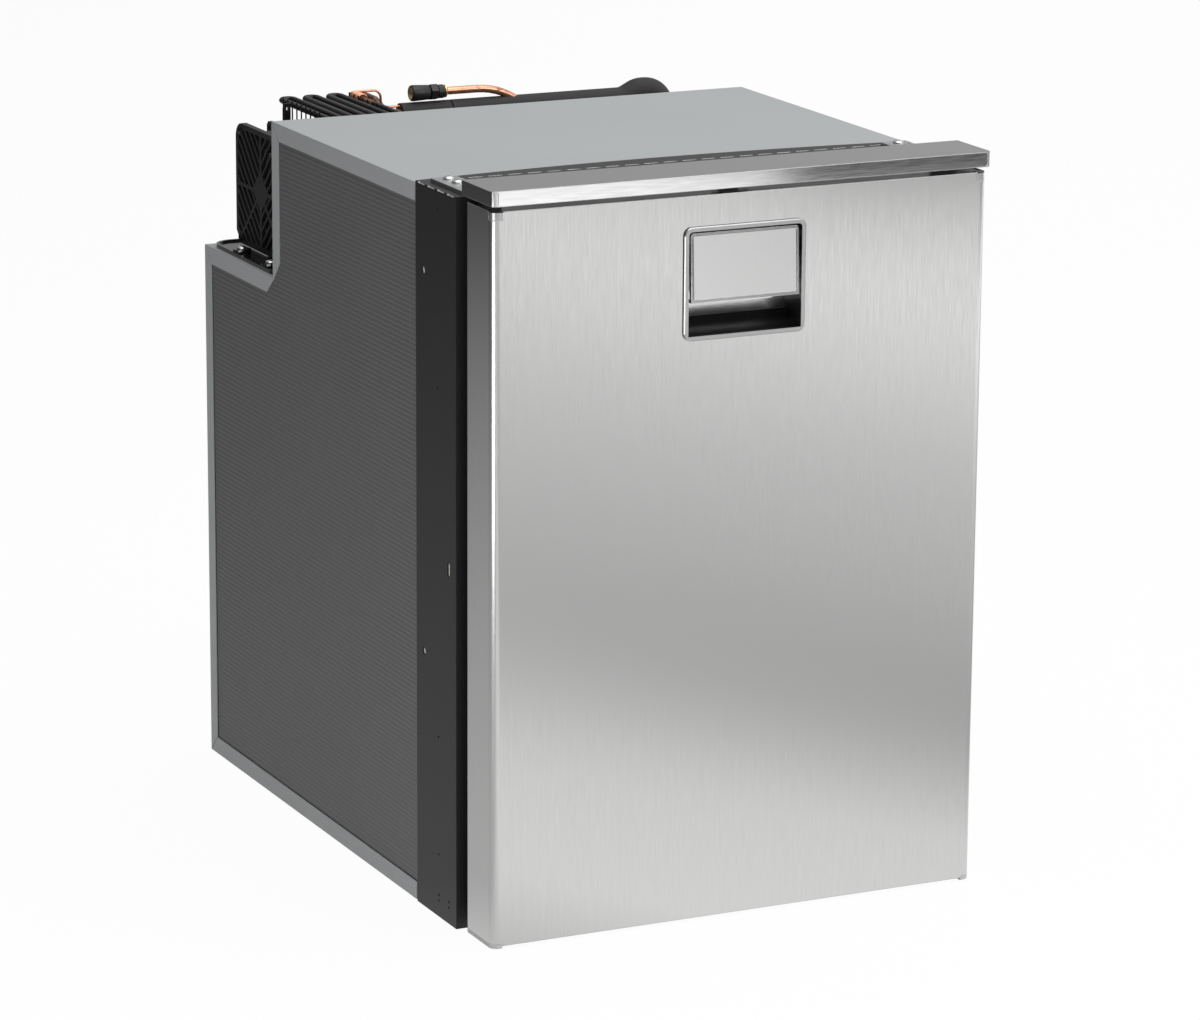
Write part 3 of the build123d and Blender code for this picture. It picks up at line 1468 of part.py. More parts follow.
def charging_edges():
    """Way of the copper pipe from the service valve in a flat arch down to the suction pipe."""
    start = Vector(valve_x1, suction_y, valve_z)
    along = Vector(1, 0, 0)
    level = start + along * 4.2 * charge_pipe
    radius = charge_pipe * 10
    drop = valve_z - suction_z
    reach = sqrt(radius**2 - (radius - drop) ** 2)
    end = level + Vector(reach, 0, -drop)
    return [Line(start, level), TangentArc(level, end, tangent=along)]


def charging_tube_way(diameter):
    """The charging pipe's way as a solid of the given diameter."""
    return round_tube(charging_edges(), diameter / 2, 12)


def charging_tube():
    """Copper pipe of the service valve, cut to sit on the suction pipe."""
    edges = suction_run()
    return charging_tube_way(charge_pipe) - round_tube(edges[:1], suction_pipe / 2, 12)


def turned_x(profile, x):
    """A turned piece along X at the service valve: (length, radius, sides) steps from x to the right."""
    piece = None
    for length, radius, sides in profile:
        shape = RegularPolygon(radius, sides)
        step = side_sketch_prism(Pos(suction_y, valve_z) * shape, x, x + length)
        piece = step if piece is None else piece + step
        x += length
    return piece


def valve_body():
    """Brass service valve: nipple under the cap, hexagon, collar and washer."""
    nipple = valve_cap_length + 4
    x0 = valve_x1 - nipple - 14.5
    turned = middle_round
    steps = [(nipple, 2.6, turned), (6, 6.4, 6), (4.5, 4.2, turned), (1.2, 6.6, turned)]
    steps.append((2.8, charge_pipe / 2 + 0.8, turned))
    return turned_x(steps, x0)


def valve_cap():
    """Cap on the valve's nipple with a grooved grip."""
    x0 = valve_x1 - valve_cap_length - 14.5
    cap = turned_x([(valve_cap_length, valve_cap_size / 2, cap_grooves * 2)], x0)
    cap = chamfer(cap.faces().sort_by(Axis.X)[0].edges(), 1.0)
    for n in range(cap_grooves):
        angle = n * 2 * pi / cap_grooves
        reach = valve_cap_size / 2 + 0.4
        groove = Pos(suction_y + reach * cos(angle), valve_z + reach * sin(angle)) * RegularPolygon(1.0, 6)
        cap -= side_sketch_prism(groove, x0 + 2, x0 + valve_cap_length - 2)
    return cap - turned_x([(valve_cap_length + 2, 2.7, middle_round)], x0 - 1)


def drier():
    """Filter drier: a copper barrel with drawn-in ends."""
    neck, taper = 6, 10
    steps = [
        (coil_tube * 0.75, 0),
        (coil_tube * 0.75, neck),
        (drier_radius, neck + taper),
        (drier_radius, drier_length - taper - neck),
        (capillary * 1.2, drier_length - neck),
        (capillary * 1.2, drier_length),
    ]
    return Pos(drier_x0, drier_y, drier_z) * Rot(0, 90, 0) * round_stack(steps, middle_round)


def capillary_tube():
    """Thin pipe: from the drier over it, up, in turns round the hairpin's left leg and into the hose."""
    start = Vector(drier_x0 + drier_length, drier_y, drier_z)
    leg_x, radius = coil_x1 + coil_column_pitch, loop_radius
    first_y = suction_y - hairpin_turns * loop_pitch
    rise = drier_radius * 3
    steps = [
        Vector(7 * capillary, 0, 0),
        Vector(0, 0, rise),
        Vector(leg_x - radius - start.X - 7 * capillary, 0, 0),
        Vector(0, first_y - start.Y, 0),
        Vector(0, 0, coil_z1 - drier_z - rise),
    ]
    edges = bent_pipe(start, steps, capillary * 5)
    place = Pos(leg_x, first_y, coil_z1) * Rot(-90, 0, 0) * Rot(0, 0, 180)
    edges += winding(place, radius, loop_pitch, hairpin_turns)
    top = Vector(leg_x, suction_y, coil_z1 + radius)
    into = suction_z + (suction_pipe + suction_foam) / 4
    over = suction_x0 + 2 - leg_x
    last = [Vector(over, 0, 0), Vector(0, 0, into - top.Z), Vector(hose_x0 - leg_x - over, 0, 0)]
    edges += bent_pipe(top, last, capillary * 3)
    return round_tube(edges, capillary / 2, 6)


def terminal_cover():
    """Cover over the compressor's electric pins at its right end."""
    x1 = shell_x + shell_length / 2 + 14
    middle = shell_z0 + shell_height * 0.34
    x0 = shell_x + shell_length * 0.36
    cover = span_box(x0, x1, shell_y - 20, shell_y + 20, middle - 15, middle + 15)
    cover = chamfer(cover.faces().sort_by(Axis.X)[-1].edges(), 2.5)
    return cover - stadium_block()


def stadium_block():
    """The compressor's lower shell as a straight block."""
    return plan_prism(stadium(shell_length, shell_depth), shell_z0 - 10, shell_z0 + shell_height + 10)


def driver_housing():
    """Electronics housing on the ledge with screw ears, a terminal recess and a connector opening."""
    x0, x1 = driver_x0, driver_x0 + driver_width
    y0, y1 = driver_y0, driver_y0 + driver_depth
    z1 = ledge_z + driver_height
    box = fillet(span_box(x0, x1, y0, y1, ledge_z, z1).edges().filter_by(Axis.Z), 3)
    for y in (y0 + 10, y1 - 10):
        box += span_box(x1 - 1, x1 + 10, y - 6, y + 6, ledge_z, ledge_z + 2)
    box -= span_box(x0 + 8, x0 + 40, y1 - 12, y1 + 1, ledge_z + 8, z1 - 12)
    box -= span_box(x0 + 44, x1 - 4, y1 - 10, y1 + 1, ledge_z + 12, z1 - 14)
    return box


def driver_heat_sink():
    """Finned metal plate on the electronics housing."""
    x0, x1 = driver_x0 + 4, driver_x0 + driver_width - 4
    y0, y1 = driver_y0 + 6, driver_y0 + driver_depth - 6
    z0 = ledge_z + driver_height
    sink = span_box(x0, x1, y0, y1, z0, z0 + 2.5)
    for x in even_places(x0, x1, (x1 - x0 - 1.5) / driver_fins):
        sink += span_box(x - 0.8, x + 0.8, y0, y1, z0, z0 + 14)
    return sink


def terminal_block():
    """Row of screw terminals in the electronics housing's recess."""
    first, y1 = terminal_places()[0], driver_y0 + driver_depth
    z = ledge_z + terminal_height
    block = span_box(first - 4.5, first + 25.5, y1 - 12, y1 - 2, z - 4, z + 10)
    for x in terminal_places():
        block -= span_box(x - 2.2, x + 2.2, y1 - 6, y1, z - 2, z + 2)
        block -= plan_prism(Pos(x, y1 - 6) * RegularPolygon(2, 8), z + 6, z + 11)
    return block


def compressor_leads():
    """Three leads from the terminal cover to the electronics housing."""
    x0 = shell_x + shell_length / 2 + 14
    z = shell_z0 + shell_height * 0.34
    section = RegularPolygon(lead * 0.7, 8)
    places = [Pos(shell_y + 2.5 * lead * n, z - 6) for n in (-1, 0, 1)]
    return group([side_sketch_prism(place * section, x0, driver_x0) for place in places])


def terminal_places():
    """Places along X of the electronics' four screw terminals."""
    return [driver_x0 + 13.5 + 7 * n for n in range(4)]


def fan_lead(place):
    """A lead from the fan's frame up behind the condenser, down and along to its terminal; place 0 or 1."""
    shift = place * lead * 1.4
    along = Vector(1, 0, 0)
    bend = lead * 5
    y = lead_y + shift
    high, low = coil_z1 - 4, ledge_z + terminal_height
    start = Vector(fan_back_x, y, fan_z + fan_size * 0.28)
    level = Vector(start.X + 2 * bend, y, high)
    edges = arc_pair(start, along, level, along)
    down_x = coil_x1 - coil_tube
    steps = [
        Vector(down_x - level.X, 0, 0),
        Vector(0, 0, low - high),
        Vector(terminal_places()[place + 1] - down_x, 0, 0),
        Vector(0, driver_y0 + driver_depth - 6 - y, 0),
    ]
    return round_tube(edges + bent_pipe(level, steps, bend), lead / 2, 6)


def fan_strap():
    """Small holed strap that stands on the fan and holds the condenser's first column."""
    x1 = fan_back_x - 3.2
    x0 = x1 - 5
    z0 = fan_z + fan_size / 2
    y = fan_y - 2
    strap = span_box(x0, x1, y, y + tray_sheet * 0.8, z0, cabinet_z1 - 1)
    strap += span_box(x0, x1, y, y + 9, z0, z0 + tray_sheet * 0.8)
    hole = front_prism(Pos((x0 + x1) / 2, cabinet_z1 - 5) * Circle(1.3), y - 1, y + 3)
    return strap - hole


def self_gap(radius, pitch, wire):
    """Least free gap between neighbouring turns of a winding, measured between points one turn apart."""
    steps = 72
    least = pitch
    for n in range(steps):
        angle = 2 * pi * n / steps
        near = Vector(radius, 0, 0)
        far = Vector(radius * cos(angle), radius * sin(angle), pitch * (steps + n) / steps)
        least = min(least, (far - near).length)
    return least - wire


def build():
    """All named parts before they are moved over the origin."""
    fixed, middle, moving = slide_members()
    frame = side_frame()
    board_part = side_board()
    parts = {
        "cabinet_wrap": cabinet_wrap(),
        "side_boards": group([board_part, mirror(board_part, Plane.YZ)]),
        "cabinet_foam": insulation(),
        "cabinet_liner": inner_liner(),
        "front_frame": front_frame(),
        "trim_bar": trim_bar(),
        "bar_brackets": group([bar_bracket(), mirror(bar_bracket(), Plane.YZ)]),
        "dome_screws": group([bar_screws(), tray_screws()]),
        "latch_keeper": latch_keeper(),
        "drawer_skin": drawer_skin(),
        "drawer_bottom_cap": bottom_cap(),
        "drawer_top_cap": top_cap(),
        "drawer_foam": drawer_foam(),
        "drawer_inner_panel": inner_panel_part(),
        "door_seal": door_seal(),
        "handle_bezel": handle_bezel(),
        "handle_back_plate": handle_back_plate(),
        "handle_flap": handle_flap(),
        "latch_bolt": latch_bolt(),
        "latch_guide": latch_guide(),
        "latch_spring": latch_spring(),
        "slides_fixed": group([fixed, mirror(fixed, Plane.YZ)]),
        "slide_middle_right": middle,
        "slide_middle_left": mirror(middle, Plane.YZ),
        "slides_drawer": group([moving, mirror(moving, Plane.YZ)]),
        "side_frame_right": frame,
        "side_frame_left": mirror(frame, Plane.YZ),
        "lower_basket": basket(lower_basket_depth, lower_basket_drop, lower_rail_z),
        "upper_basket": basket(upper_basket_depth, upper_basket_drop, upper_rail_height),
        "evaporator_plate": evaporator(),
        "evaporator_standoffs": plate_standoffs(),
        "thermostat_housing": control_housing(),
        "thermostat_lens": control_lens(),
        "thermostat_knob": thermostat_knob(),
        "drip_tray": drip_tray(),
        "fan_housing": fan_housing(),
        "fan_rotor": fan_rotor(),
        "fan_guard": fan_guard(),
        "guard_screws": guard_screws(),
        "fan_strap": fan_strap(),
        "fan_lead_red": fan_lead(0),
        "fan_lead_black": fan_lead(1),
        "condenser_coil": condenser_coil(),
        "condenser_wires": condenser_wires(),
        "condenser_straps": condenser_bracket(),
        "compressor_shell": compressor(),
        "compressor_base": compressor_base(),
        "compressor_feet": rubber_feet(),
        "compressor_terminal_cover": terminal_cover(),
        "compressor_leads": compressor_leads(),
        "electronics_housing": driver_housing(),
        "electronics_heat_sink": driver_heat_sink(),
        "electronics_terminals": terminal_block(),
        "filter_drier": drier(),
        "capillary_tube": capillary_tube(),
        "suction_pipe": suction_tube(),
        "suction_insulation": suction_insulation(),
        "charging_pipe": charging_tube(),
        "service_valve": valve_body(),
        "service_valve_cap": valve_cap(),
    }
    return parts


spring_gap = self_gap(spring_radius, (bolt_z0 - spring_z0 - spring_wire) / spring_turns, spring_wire)
loop_gap = self_gap(loop_radius, loop_pitch, capillary)
print("least gap between turns of the latch spring:", round(spring_gap, 2))
print("least gap between turns of the thin pipe:", round(loop_gap, 2))
for name, part in build().items():
    export_step(Pos(0, -middle_y, 0) * part, os.path.join("parts", name + ".step"))
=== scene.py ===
"""Looks of a built-in drawer refrigerator: a finish for every piece, finer meshes for its round and
moulded pieces, and the light, floor and camera of its picture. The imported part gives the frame."""
import json
import logging
from dataclasses import dataclass, field
from enum import Enum, unique
from functools import cache
from math import acos, cos, pi, radians, sin, sqrt, tan
from typing import Callable, Iterable, Union

import bmesh
import bpy
from mathutils import Matrix, Vector


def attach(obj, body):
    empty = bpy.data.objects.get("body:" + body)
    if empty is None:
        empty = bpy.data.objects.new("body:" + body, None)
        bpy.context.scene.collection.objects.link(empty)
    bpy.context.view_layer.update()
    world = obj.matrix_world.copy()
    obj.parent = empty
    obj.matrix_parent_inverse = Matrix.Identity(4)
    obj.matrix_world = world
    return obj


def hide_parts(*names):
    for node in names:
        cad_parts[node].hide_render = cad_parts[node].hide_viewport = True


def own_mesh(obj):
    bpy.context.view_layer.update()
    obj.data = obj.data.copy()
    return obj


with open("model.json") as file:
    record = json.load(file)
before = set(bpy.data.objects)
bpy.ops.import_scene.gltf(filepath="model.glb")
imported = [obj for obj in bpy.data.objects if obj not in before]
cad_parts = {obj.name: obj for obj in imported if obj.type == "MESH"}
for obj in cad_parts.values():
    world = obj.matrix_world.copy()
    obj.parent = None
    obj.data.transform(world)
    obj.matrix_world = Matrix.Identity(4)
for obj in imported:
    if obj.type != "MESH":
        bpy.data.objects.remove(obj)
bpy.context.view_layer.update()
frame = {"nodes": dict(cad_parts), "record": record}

log = logging.getLogger("scene")

MM = 0.001
MIDDLE_Y = 261.9
X, Y, Z = Vector((1, 0, 0)), Vector((0, 1, 0)), Vector((0, 0, 1))

# Where pieces of the cooling unit meet, in millimetres with y from the drawer's face
DISCHARGE_STUB = (-68.0, 469.52, 444.98)
SUCTION_STUB = (-65.0, 480.0, 453.12)
DRIER_INLET = (-59.4, 511.2, 428.5)
HAIRPIN_X = -83.8
TOP_ROW = 516.5
COMPRESSOR_Y = 445.6

Colour = tuple[float, float, float]
Value = Union["Field", float, tuple]


class Body(Enum):
    """The bodies of the part, which its joints move."""

    CABINET = "cabinet"
    DRAWER = "drawer"
    FLAP = "flap"
    KNOB = "knob"
    ROTOR = "rotor"


class Grain(Enum):
    """How many times finer than along X, Y and Z a brushed surface changes."""

    ACROSS = (60.0, 2200.0, 2200.0)
    UPRIGHT = (2200.0, 2200.0, 60.0)


# Shader graphs


class Field:
    """An output of a shader graph. Sums, differences and products with it add maths nodes."""

    def __init__(self, graph: "Graph", socket: bpy.types.NodeSocket) -> None:
        self.graph = graph
        self.socket = socket

    def _maths(self, operation: str, first: Value, second: Value) -> "Field":
        return self.graph.node("ShaderNodeMath", {"operation": operation}, {0: first, 1: second})

    def __add__(self, other: Value) -> "Field":
        return self._maths("ADD", self, other)

    def __radd__(self, other: Value) -> "Field":
        return self._maths("ADD", other, self)

    def __sub__(self, other: Value) -> "Field":
        return self._maths("SUBTRACT", self, other)

    def __rsub__(self, other: Value) -> "Field":
        return self._maths("SUBTRACT", other, self)

    def __mul__(self, other: Value) -> "Field":
        return self._maths("MULTIPLY", self, other)

    def __rmul__(self, other: Value) -> "Field":
        return self._maths("MULTIPLY", other, self)


class Graph:
    """The node graph of one procedural material, or of the surroundings."""

    def __init__(self, owner: bpy.types.ID, shader: str = "Principled BSDF", place: str = "Object") -> None:
        """Opens the graph.

        Args:
            owner: the material or world that it belongs to.
            shader: name of the shader that it feeds.
            place: output of the texture coordinates that it reads.
        """
        owner.use_nodes = True
        self.owner = owner
        self.tree = owner.node_tree
        self.shader = self.tree.nodes[shader]
        self.place = self.node("ShaderNodeTexCoord", output=place)

    def node(self, kind: str, settings: dict | None = None, inputs: dict | None = None, output=0) -> Field:
        """Adds a node.

        Args:
            kind: the node's type.
            settings: attributes of the node by name.
            inputs: fields or constants by the input's name or number.
            output: name or number of the output that is wanted.

        Returns:
            The output as a field.
        """
        made = self.tree.nodes.new(kind)
        for name, value in (settings or {}).items():
            setattr(made, name, value)
        for key, value in (inputs or {}).items():
            self.feed(made.inputs[key], value)
        return Field(self, made.outputs[output])

    def feed(self, socket: bpy.types.NodeSocket, value: Value) -> None:
        """Links a field to a socket, or sets a constant on it."""
        if isinstance(value, Field):
            self.tree.links.new(value.socket, socket)
        else:
            socket.default_value = value

    def set(self, name: str, value: Value) -> None:
        """Feeds one input of the material's shader."""
        self.feed(self.shader.inputs[name], value)

    def noise(self, scale: float | tuple, detail: float = 2.0) -> Field:
        """Smooth noise from 0 to 1, with its changes per metre along X, Y and Z."""
        stretch = scale if isinstance(scale, tuple) else (scale,) * 3
        where = self.node("ShaderNodeMapping", inputs={"Vector": self.place, "Scale": stretch})
        return self.node("ShaderNodeTexNoise", inputs={"Vector": where, "Scale": 1.0, "Detail": detail})

    def cells(self, scale: float) -> Field:
        """Distance from the middle of the nearest cell, with so many cells per metre."""
        return self.node("ShaderNodeTexVoronoi", inputs={"Vector": self.place, "Scale": scale})

    def span(self, value: Field, low: float, high: float, start: float = 0.0, end: float = 1.0) -> Field:
        """Maps a value from low...high to start...end and holds it at the ends."""
        inputs = {"Value": value, "From Min": low, "From Max": high, "To Min": start, "To Max": end}
        return self.node("ShaderNodeMapRange", inputs=inputs)

    def profile(self, value: Field, points: Iterable[tuple[float, float]]) -> Field:
        """A level that follows straight lines between points of value and level."""
        points = list(points)
        level = self.span(value, points[0][0], points[1][0], points[0][1], points[1][1])
        for (low, start), (high, end) in zip(points[1:], points[2:]):
            level = level + self.span(value, low, high, 0.0, end - start)
        return level

    def mix(self, factor: Value, first: Value, second: Value) -> Field:
        """A colour between first and second."""
        inputs = {0: factor, 6: self.colour(first), 7: self.colour(second)}
        return self.node("ShaderNodeMix", {"data_type": "RGBA"}, inputs, output=2)

    def colour(self, value: Value) -> Value:
        """A colour as its socket takes it."""
        return value if isinstance(value, Field) else (*value, 1.0)

    def axis(self, name: str) -> Field:
        """One coordinate of the place, in metres."""
        return self.node("ShaderNodeSeparateXYZ", inputs={0: self.place}, output=name)

    def past(self, axis: str, limit: float, line: float, before: float = 0.0, behind: float = 1.0) -> Field:
        """A mask that is 1 past a limit along an axis.

        Args:
            axis: X, Y or Z.
            limit: in millimetres, with y from the drawer's face.
            line: width of the change, in millimetres.
            before: level before the limit.
            behind: level past the line.
        """
        start = (limit - (MIDDLE_Y if axis == "Y" else 0.0)) * MM
        return self.span(self.axis(axis), start, start + line * MM, before, behind)

    def short_of(self, axis: str, limit: float, line: float) -> Field:
        """A mask that is 1 short of a limit along an axis."""
        return self.past(axis, limit, line, 1.0, 0.0)

    def near_middle(self, reach: float, line: float) -> Field:
        """A mask that is 1 as far as reach, in millimetres, to both sides of the middle."""
        x = self.axis("X")
        return self.span(x * x, (reach * MM) ** 2, ((reach + line) * MM) ** 2, 1.0, 0.0)

    def relief(self, height: Value, depth: float, soft_edge: float) -> None:
        """Gives the surface small relief and rounds its edges for the light.

        Args:
            height: from 0 to 1.
            depth: relief in millimetres.
            soft_edge: radius of the rounded edges in millimetres.
        """
        edge = self.node("ShaderNodeBevel", {"samples": 4}, {"Radius": soft_edge * MM})
        inputs = {"Height": height, "Distance": depth * MM, "Strength": 1.0, "Normal": edge}
        self.set("Normal", self.node("ShaderNodeBump", inputs=inputs))


# Finishes


def grey(level: float) -> Colour:
    """A colour without hue."""
    return level, level, level


@dataclass(frozen=True)
class Finish:
    """A surface's finish.

    Attributes:
        colour: main colour, linear.
        roughness: 0 for a mirror and 1 for chalk.
        metallic: 1 for bare metal.
        soft_edge: radius of the piece's edges in millimetres.
        slot: the record's material slot that it stands for, unless that has the finish's name.
    """

    colour: Colour
    roughness: float = 0.5
    metallic: float = 0.0
    soft_edge: float = 0.3
    slot: str = field(default="", kw_only=True)

    def shade(self, factor: float) -> Colour:
        """The main colour made lighter or darker."""
        return tuple(min(1.0, part * factor) for part in self.colour)

    def between(self, graph: Graph, factor: Field, low: float, high: float) -> Field:
        """The main colour, between two shades of it."""
        return graph.mix(factor, self.shade(low), self.shade(high))

    def gloss(self, graph: Graph, value: Field, ends: tuple[float, float], first: float, last: float) -> None:
        """Feeds the roughness, which differs by first to last as a value goes from end to end."""
        graph.set("Roughness", graph.span(value, *ends, self.roughness + first, self.roughness + last))

    def material(self, name: str) -> bpy.types.Material:
        """Builds the material."""
        graph = Graph(bpy.data.materials.new(name))
        graph.set("Metallic", self.metallic)
        self.paint(graph)
        return graph.owner

    def paint(self, graph: Graph) -> None:
        """Feeds the shader; each kind of finish has its own."""
        raise NotImplementedError


@dataclass(frozen=True)
class Moulding(Finish):
    """Moulded plastic or rubber with a fine grain and slow changes of gloss."""

    grain: float = 700.0
    grain_depth: float = 0.02
    coat: float = 0.0
    coat_roughness: float = 0.08

    def paint(self, graph: Graph) -> None:
        """Feeds the shader."""
        cloud, grain = graph.noise(14.0, 3.0), graph.noise(self.grain)
        graph.set("Base Color", self.tone(graph, cloud))
        self.gloss(graph, cloud + grain, (0.6, 1.4), -0.05, 0.07)
        graph.set("Coat Weight", self.coat)
        graph.set("Coat Roughness", self.coat_roughness)
        graph.relief(grain, self.grain_depth, self.soft_edge)

    def tone(self, graph: Graph, cloud: Field) -> Field:
        """The colour, a little uneven."""
        return self.between(graph, cloud, 0.9, 1.12)


@dataclass(frozen=True)
class BoardFace(Moulding):
    """A board with painted shade, nearly black, in the open gaps below and behind, where it slips under the
    flanges.

    Attributes:
        low: height of the lower flange's inner edge.
        back: y of the rear flange's inner edge.
        joint: width of the painted shade in those gaps, in millimetres.
        line: width of the change beside them, in millimetres.
    """

    low: float = 14.2
    back: float = 514.2
    joint: float = 0.9
    line: float = 0.3

    def tone(self, graph: Graph, cloud: Field) -> Field:
        """The colour, with painted shade nearly black in the gaps."""
        # Painted shade: the board goes nearly black in the gaps under the flanges.
        face = graph.past("Z", self.low + self.joint, self.line)
        face = face * graph.short_of("Y", self.back - self.joint - self.line, self.line)
        return graph.mix(face, self.shade(0.06), super().tone(graph, cloud))


@dataclass(frozen=True)
class PaintedSheet(Finish):
    """Coated sheet steel with a fine speckle."""

    speckle: float = 0.10
    grain_depth: float = 0.012

    def paint(self, graph: Graph) -> None:
        """Feeds the shader."""
        speckle = graph.noise(1500.0, 3.0)
        self.coat(graph, speckle)
        self.gloss(graph, speckle, (0.3, 0.7), -0.04, 0.06)
        graph.relief(speckle, self.grain_depth, self.soft_edge)

    def coat(self, graph: Graph, speckle: Field) -> None:
        """Colours the coat."""
        mixed = speckle * 0.7 + graph.noise(9.0, 2.0) * 0.3
        graph.set("Base Color", self.between(graph, mixed, 1 - self.speckle, 1 + self.speckle))


@dataclass(frozen=True)
class CutSheet(PaintedSheet):
    """Coated sheet whose punched slots and notches along the top fold show bare metal.

    Attributes:
        bare: colour of the cut edges.
        cut_low: height of the lower side of the cuts, in millimetres.
        cut_high: height of their upper side.
        cut_front: y from which cuts begin.
        cut_half: half of the width in which cuts lie.
        line: width of the change beside a cut, in millimetres.
    """

    bare: Colour = grey(0.86)
    cut_low: float = 521.6
    cut_high: float = 522.6
    cut_front: float = 54.6
    cut_half: float = 193.2
    line: float = 0.05

    def coat(self, graph: Graph, speckle: Field) -> None:
        """Colours the coat and the bare cuts."""
        cut = graph.past("Z", self.cut_low, self.line) * graph.short_of("Z", self.cut_high, self.line)
        cut = cut * graph.past("Y", self.cut_front, self.line) * graph.near_middle(self.cut_half, self.line)
        coat = self.between(graph, speckle, 1 - self.speckle, 1 + self.speckle)
        graph.set("Base Color", graph.mix(cut, coat, self.bare))
        graph.set("Metallic", cut)


@dataclass(frozen=True)
class BrushedMetal(Finish):
    """Metal with long fine scratches along one direction."""

    grain: Grain = Grain.UPRIGHT
    contrast: float = 0.08
    scratch: float = 0.0007

    def paint(self, graph: Graph) -> None:
        """Feeds the shader."""
        hair = graph.noise(self.grain.value, 3.0)
        band = graph.noise(tuple(part / 4 for part in self.grain.value), 2.0)
        mixed = graph.span(hair * 0.8 + band * 0.2, 0.3, 0.7)
        graph.set("Base Color", self.between(graph, mixed, 1 - self.contrast, 1 + self.contrast))
        self.gloss(graph, mixed, (0.0, 1.0), 0.03, -0.02)
        graph.relief(hair, self.scratch, self.soft_edge)


@dataclass(frozen=True)
class InlayPlate(BrushedMetal):
    """Brushed plate with a fine dark line round its edge.

    Attributes:
        half_width: from its middle to the line, in millimetres.
        low: height of the lower line.
        high: height of the upper line.
        line: width of the change beside it, in millimetres.
    """

    half_width: float = 39.3
    low: float = 448.8
    high: float = 493.0
    line: float = 0.1

    def paint(self, graph: Graph) -> None:
        """Feeds the shader."""
        hair = graph.noise(self.grain.value, 3.0)
        inside = graph.near_middle(self.half_width, self.line) * graph.past("Z", self.low, self.line)
        inside = inside * graph.short_of("Z", self.high - self.line, self.line)
        steel = self.between(graph, hair, 1 - self.contrast, 1 + self.contrast)
        graph.set("Base Color", graph.mix(inside, self.shade(0.3), steel))
        self.gloss(graph, hair, (0.3, 0.7), 0.03, -0.02)
        graph.relief(hair, self.scratch, self.soft_edge)


@dataclass(frozen=True)
class Zinc(Finish):
    """Plated steel with faint crystals."""

    crystals: float = 140.0

    def paint(self, graph: Graph) -> None:
        """Feeds the shader."""
        crystal, cloud = graph.span(graph.cells(self.crystals), 0.0, 0.7), graph.noise(40.0, 3.0)
        graph.set("Base Color", self.between(graph, crystal, 1.08, 0.86))
        self.gloss(graph, cloud + crystal, (0.4, 1.4), -0.08, 0.10)
        graph.relief(cloud, 0.01, self.soft_edge)


@dataclass(frozen=True)
class Oxidised(Finish):
    """Copper or brass that has darkened in patches."""

    patch: Colour = (0.12, 0.05, 0.03)
    patches: float = 160.0
    share: float = 0.5

    def paint(self, graph: Graph) -> None:
        """Feeds the shader."""
        wide, fine = graph.noise(self.patches, 4.0), graph.noise(self.patches * 6, 2.0)
        edge = 0.75 - self.share * 0.4
        dull = graph.span(wide * 0.8 + fine * 0.2, edge - 0.1, edge + 0.14)
        graph.set("Base Color", graph.mix(dull, self.colour, self.patch))
        graph.set("Metallic", graph.span(dull, 0, 1, 1.0, 0.55))
        self.gloss(graph, dull, (0.0, 1.0), 0.0, 0.28)
        graph.relief(fine, 0.01, self.soft_edge)


@dataclass(frozen=True)
class Foam(Finish):
    """Foam with small cells."""

    cells: float = 900.0
    depth: float = 0.12

    def paint(self, graph: Graph) -> None:
        """Feeds the shader."""
        cloud = graph.noise(60.0, 3.0)
        graph.set("Base Color", self.between(graph, cloud, 0.8, 1.2))
        self.gloss(graph, cloud, (0.2, 0.8), -0.05, 0.05)
        graph.relief(graph.cells(self.cells), self.depth, self.soft_edge)


@dataclass(frozen=True)
class PlatedMoulding(Finish):
    """Plastic with a satin metal coat, nearly black on a mask that each kind of piece sets: painted shade,
    and in the handle also its black plastic.

    Attributes:
        black_and_shade: colour on that mask, of painted shade and of black plastic.
        unevenness: how much lighter and darker the coat gets.
        cloud: changes of the coat per metre.
    """

    black_and_shade: Colour = (0.016, 0.016, 0.017)
    unevenness: float = 0.05
    cloud: float = 30.0

    def dark(self, graph: Graph) -> Field:
        """A mask that is 1 where the colour goes nearly black, with painted shade; each kind of piece has its
        own.
        """
        raise NotImplementedError

    def coat(self, graph: Graph, cloud: Field) -> Field:
        """The coat's colour."""
        return self.between(graph, cloud, 1 - self.unevenness, 1 + self.unevenness)

    def paint(self, graph: Graph) -> None:
        """Feeds the shader."""
        dark, cloud = self.dark(graph), graph.noise(self.cloud, 3.0)
        # Painted shade, and black plastic in the handle, where the mask is 1.
        graph.set("Base Color", graph.mix(dark, self.coat(graph, cloud), self.black_and_shade))
        graph.set("Metallic", graph.span(dark, 0, 1, self.metallic, 0.0))
        self.gloss(graph, cloud, (0.2, 0.8), -0.04, 0.06)
        graph.relief(graph.noise(800.0), 0.004, self.soft_edge)


@dataclass(frozen=True)
class EndCap(PlatedMoulding):
    """End cap with painted shade on its upper face, in the gap under the trim bar.

    Attributes:
        shaded_above: height of the coat's upper end, above which shade is painted, in millimetres.
        line: width of the change above it.
    """

    shaded_above: float = 520.3
    line: float = 0.2

    def dark(self, graph: Graph) -> Field:
        """A mask that is 1 on the upper face, where shade is painted."""
        return graph.past("Z", self.shaded_above, self.line)


